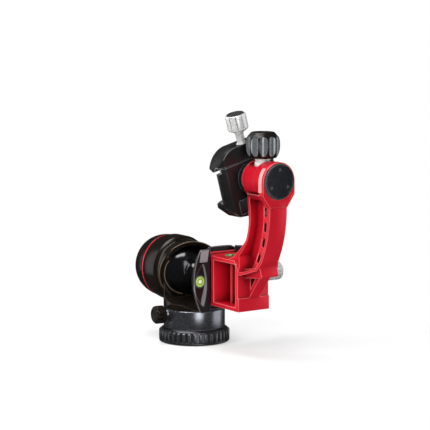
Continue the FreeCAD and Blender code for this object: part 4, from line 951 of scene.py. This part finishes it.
def hub_end():
    """Outer cap of the hub: dark sunk face inside a bright-edged rim."""
    low, high = box_mm("hub_cap")
    r = (high[2] - low[2]) / 2
    thick = high[0] - low[0]
    middle = Vector((low[0] * MM, 0, HUB.z))
    profile = [(0, 0), (0, r), (thick - 1.0, r), (thick, r - 1.0), (thick, r - 2.0),
               (thick - 0.5, r - 2.6), (thick - 0.5, 0)]
    cap = lathe("hub_end", rounded(profile, 0.3), middle, X_AXIS, SURFACES["black_cap"], 128)
    place(cap, "arm", "hub_cap")
    rim = [(thick - 0.98, r - 0.02), (thick - 0.98, r), (thick, r - 0.95), (thick, r - 1.35),
           (thick - 0.98, r - 0.02)]
    place(lathe("hub_end_edge", rim, middle, X_AXIS, SURFACES["cap_edge"], 128), "arm")


def hub_seat(arm):
    """Mill a flat over the hub for the tension collar, and trim the flare under the hub."""
    low, high = box_mm("tension_collar")
    middle = (low[0] + high[0]) / 2
    half = (high[0] - low[0]) / 2 + COLLAR_GAP
    seat = low[2] + 0.2
    flat = [(-CUT_REACH, seat), (-CUT_REACH, seat + 20), (CUT_REACH, seat + 20), (CUT_REACH, seat)]
    carve(arm, flat, middle - half, middle + half)
    hub_z = HUB.z / MM
    last = math.acos((hub_z - ROOT_TOP) / HUB_RADIUS)
    first = math.asin(ROOT_HALF / HUB_RADIUS)
    for side in (-1, 1):
        flare = [(side * ROOT_HALF, ROOT_LOW), (side * CUT_REACH, ROOT_LOW),
                 (side * CUT_REACH, ROOT_TOP)]
        for index in range(ROOT_STEPS + 1):
            angle = last + (first - last) * index / ROOT_STEPS
            flare.append((side * HUB_RADIUS * math.sin(angle),
                          hub_z - HUB_RADIUS * math.cos(angle)))
        carve(arm, flare, ROOT_FROM, ROOT_TO)
    smooth(arm.data, CASTING_SHARP)


def hub_facet():
    """Narrow band, painted as a highlight, that runs up the hub's near side, beside the cap."""
    end = box_mm("hub_cap")[0][0] + FACET_END
    start = end - FACET_WIDE
    section = ((start, FACET_RADIUS - 0.4), (start + 0.3, FACET_RADIUS),
               (end - 0.3, FACET_RADIUS), (end, FACET_RADIUS - 0.4))
    work = bmesh.new()
    rows = []
    for index in range(FACET_STEPS + 1):
        angle = math.radians(FACET_FROM + (FACET_TO - FACET_FROM) * index / FACET_STEPS)
        side, rise = -math.cos(max(angle, 0)), math.sin(angle)
        rows.append([work.verts.new(Vector((x, r * side, HUB.z / MM + r * rise)) * MM)
                     for x, r in section])
    for a, b in zip(rows, rows[1:]):
        for corner in range(len(section)):
            after = (corner + 1) % len(section)
            work.faces.new((a[corner], a[after], b[after], b[corner]))
    for end_row in (rows[0], rows[-1]):
        work.faces.new(end_row)
    mesh = mesh_of("hub_facet", work)
    # painted highlight: a pale pink band on the red hub
    mesh.materials.append(SURFACES["red_highlight"])
    smooth(mesh)
    place(link_mesh("hub_facet", mesh), "arm")


# ---- screws, and the whole --------------------------------------------------
LENS_LEAN = math.radians(15)    # how far the lens clamp is turned about the tilt axis
FLANGE_Y = 12                   # the flange screws' places before that turn, mm from the axis
FLANGE_Z = 5.5
CAP_CIRCLE = 12                 # radius on which the cap's screws lie


def all_screws():
    """Heads of the screws that can be seen, in place of the plain ones."""
    lens_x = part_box("flange_screws")[0][0]
    lean = Matrix.Rotation(LENS_LEAN, 4, "X")
    corners = [lean @ Vector((0, y * MM, z * MM))
               for y in (-FLANGE_Y, FLANGE_Y) for z in (-FLANGE_Z, FLANGE_Z)]
    flange = [(lens_x, corner.y, HUB.z + corner.z) for corner in corners]
    cap_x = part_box("cap_screws")[1][0] + 0.1 * MM
    cap = []
    for turn in (90, 210, 330):
        angle = math.radians(turn)
        cap.append((cap_x, CAP_CIRCLE * math.cos(angle) * MM,
                    HUB.z + CAP_CIRCLE * math.sin(angle) * MM))
    low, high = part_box("stop_screws")
    stop = [(low[0], 0, low[2] + 1.6 * MM), (low[0], 0, high[2] - 1.6 * MM)]
    low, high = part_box("base_screws")
    base = [(x, y, low[2]) for x in (low[0] + 3 * MM, high[0] - 3 * MM)
            for y in (low[1] + 3 * MM, high[1] - 3 * MM)]
    for kind, points, axis, head in (
            ("flange", flange, (-1, 0, 0), (2.75, 2.4, 1.5)),
            ("cap", cap, (1, 0, 0), (1.65, 1.2, 0.9)),
            ("stop", stop, (-1, 0, 0), (1.55, 4.0, 0.9)),
            ("base", base, (0, 0, -1), (2.95, 2.4, 1.5))):
        node = kind + "_screws"
        place(screws(kind + "_screw_heads", points, axis, head, "steel"), body_of(node), node)


def dress_nodes():
    """Every node that stays gets the finish of its material slot."""
    for row in frame["record"]["subparts"]:
        mesh = frame["nodes"][row["node"]].data
        mesh.materials.clear()
        mesh.materials.append(SURFACES[row["material_slot"]])


def main():
    set_camera()
    set_lamps()
    set_surround()
    set_floor()
    bpy.context.scene.view_settings.view_transform = "Standard"
    dress_nodes()
    panning_base()
    turret()
    arm = softened("gimbal_arm", 0.8, SURFACES["red_anodised"], angle=30)
    for node in ("clamp_base", "clamp_jaw", "lens_clamp_body", "lens_jaw"):
        softened(node, 0.7, SURFACES["black_anodised"])
    round_level("clamp_level", (1, 0, 0))
    round_level("arm_level", (0, 0, 1))
    clamp_face()
    clamp_grip()
    lens_grip()
    tension_grip()
    hub_end()
    hub_seat(arm)
    hub_facet()
    all_screws()


main()
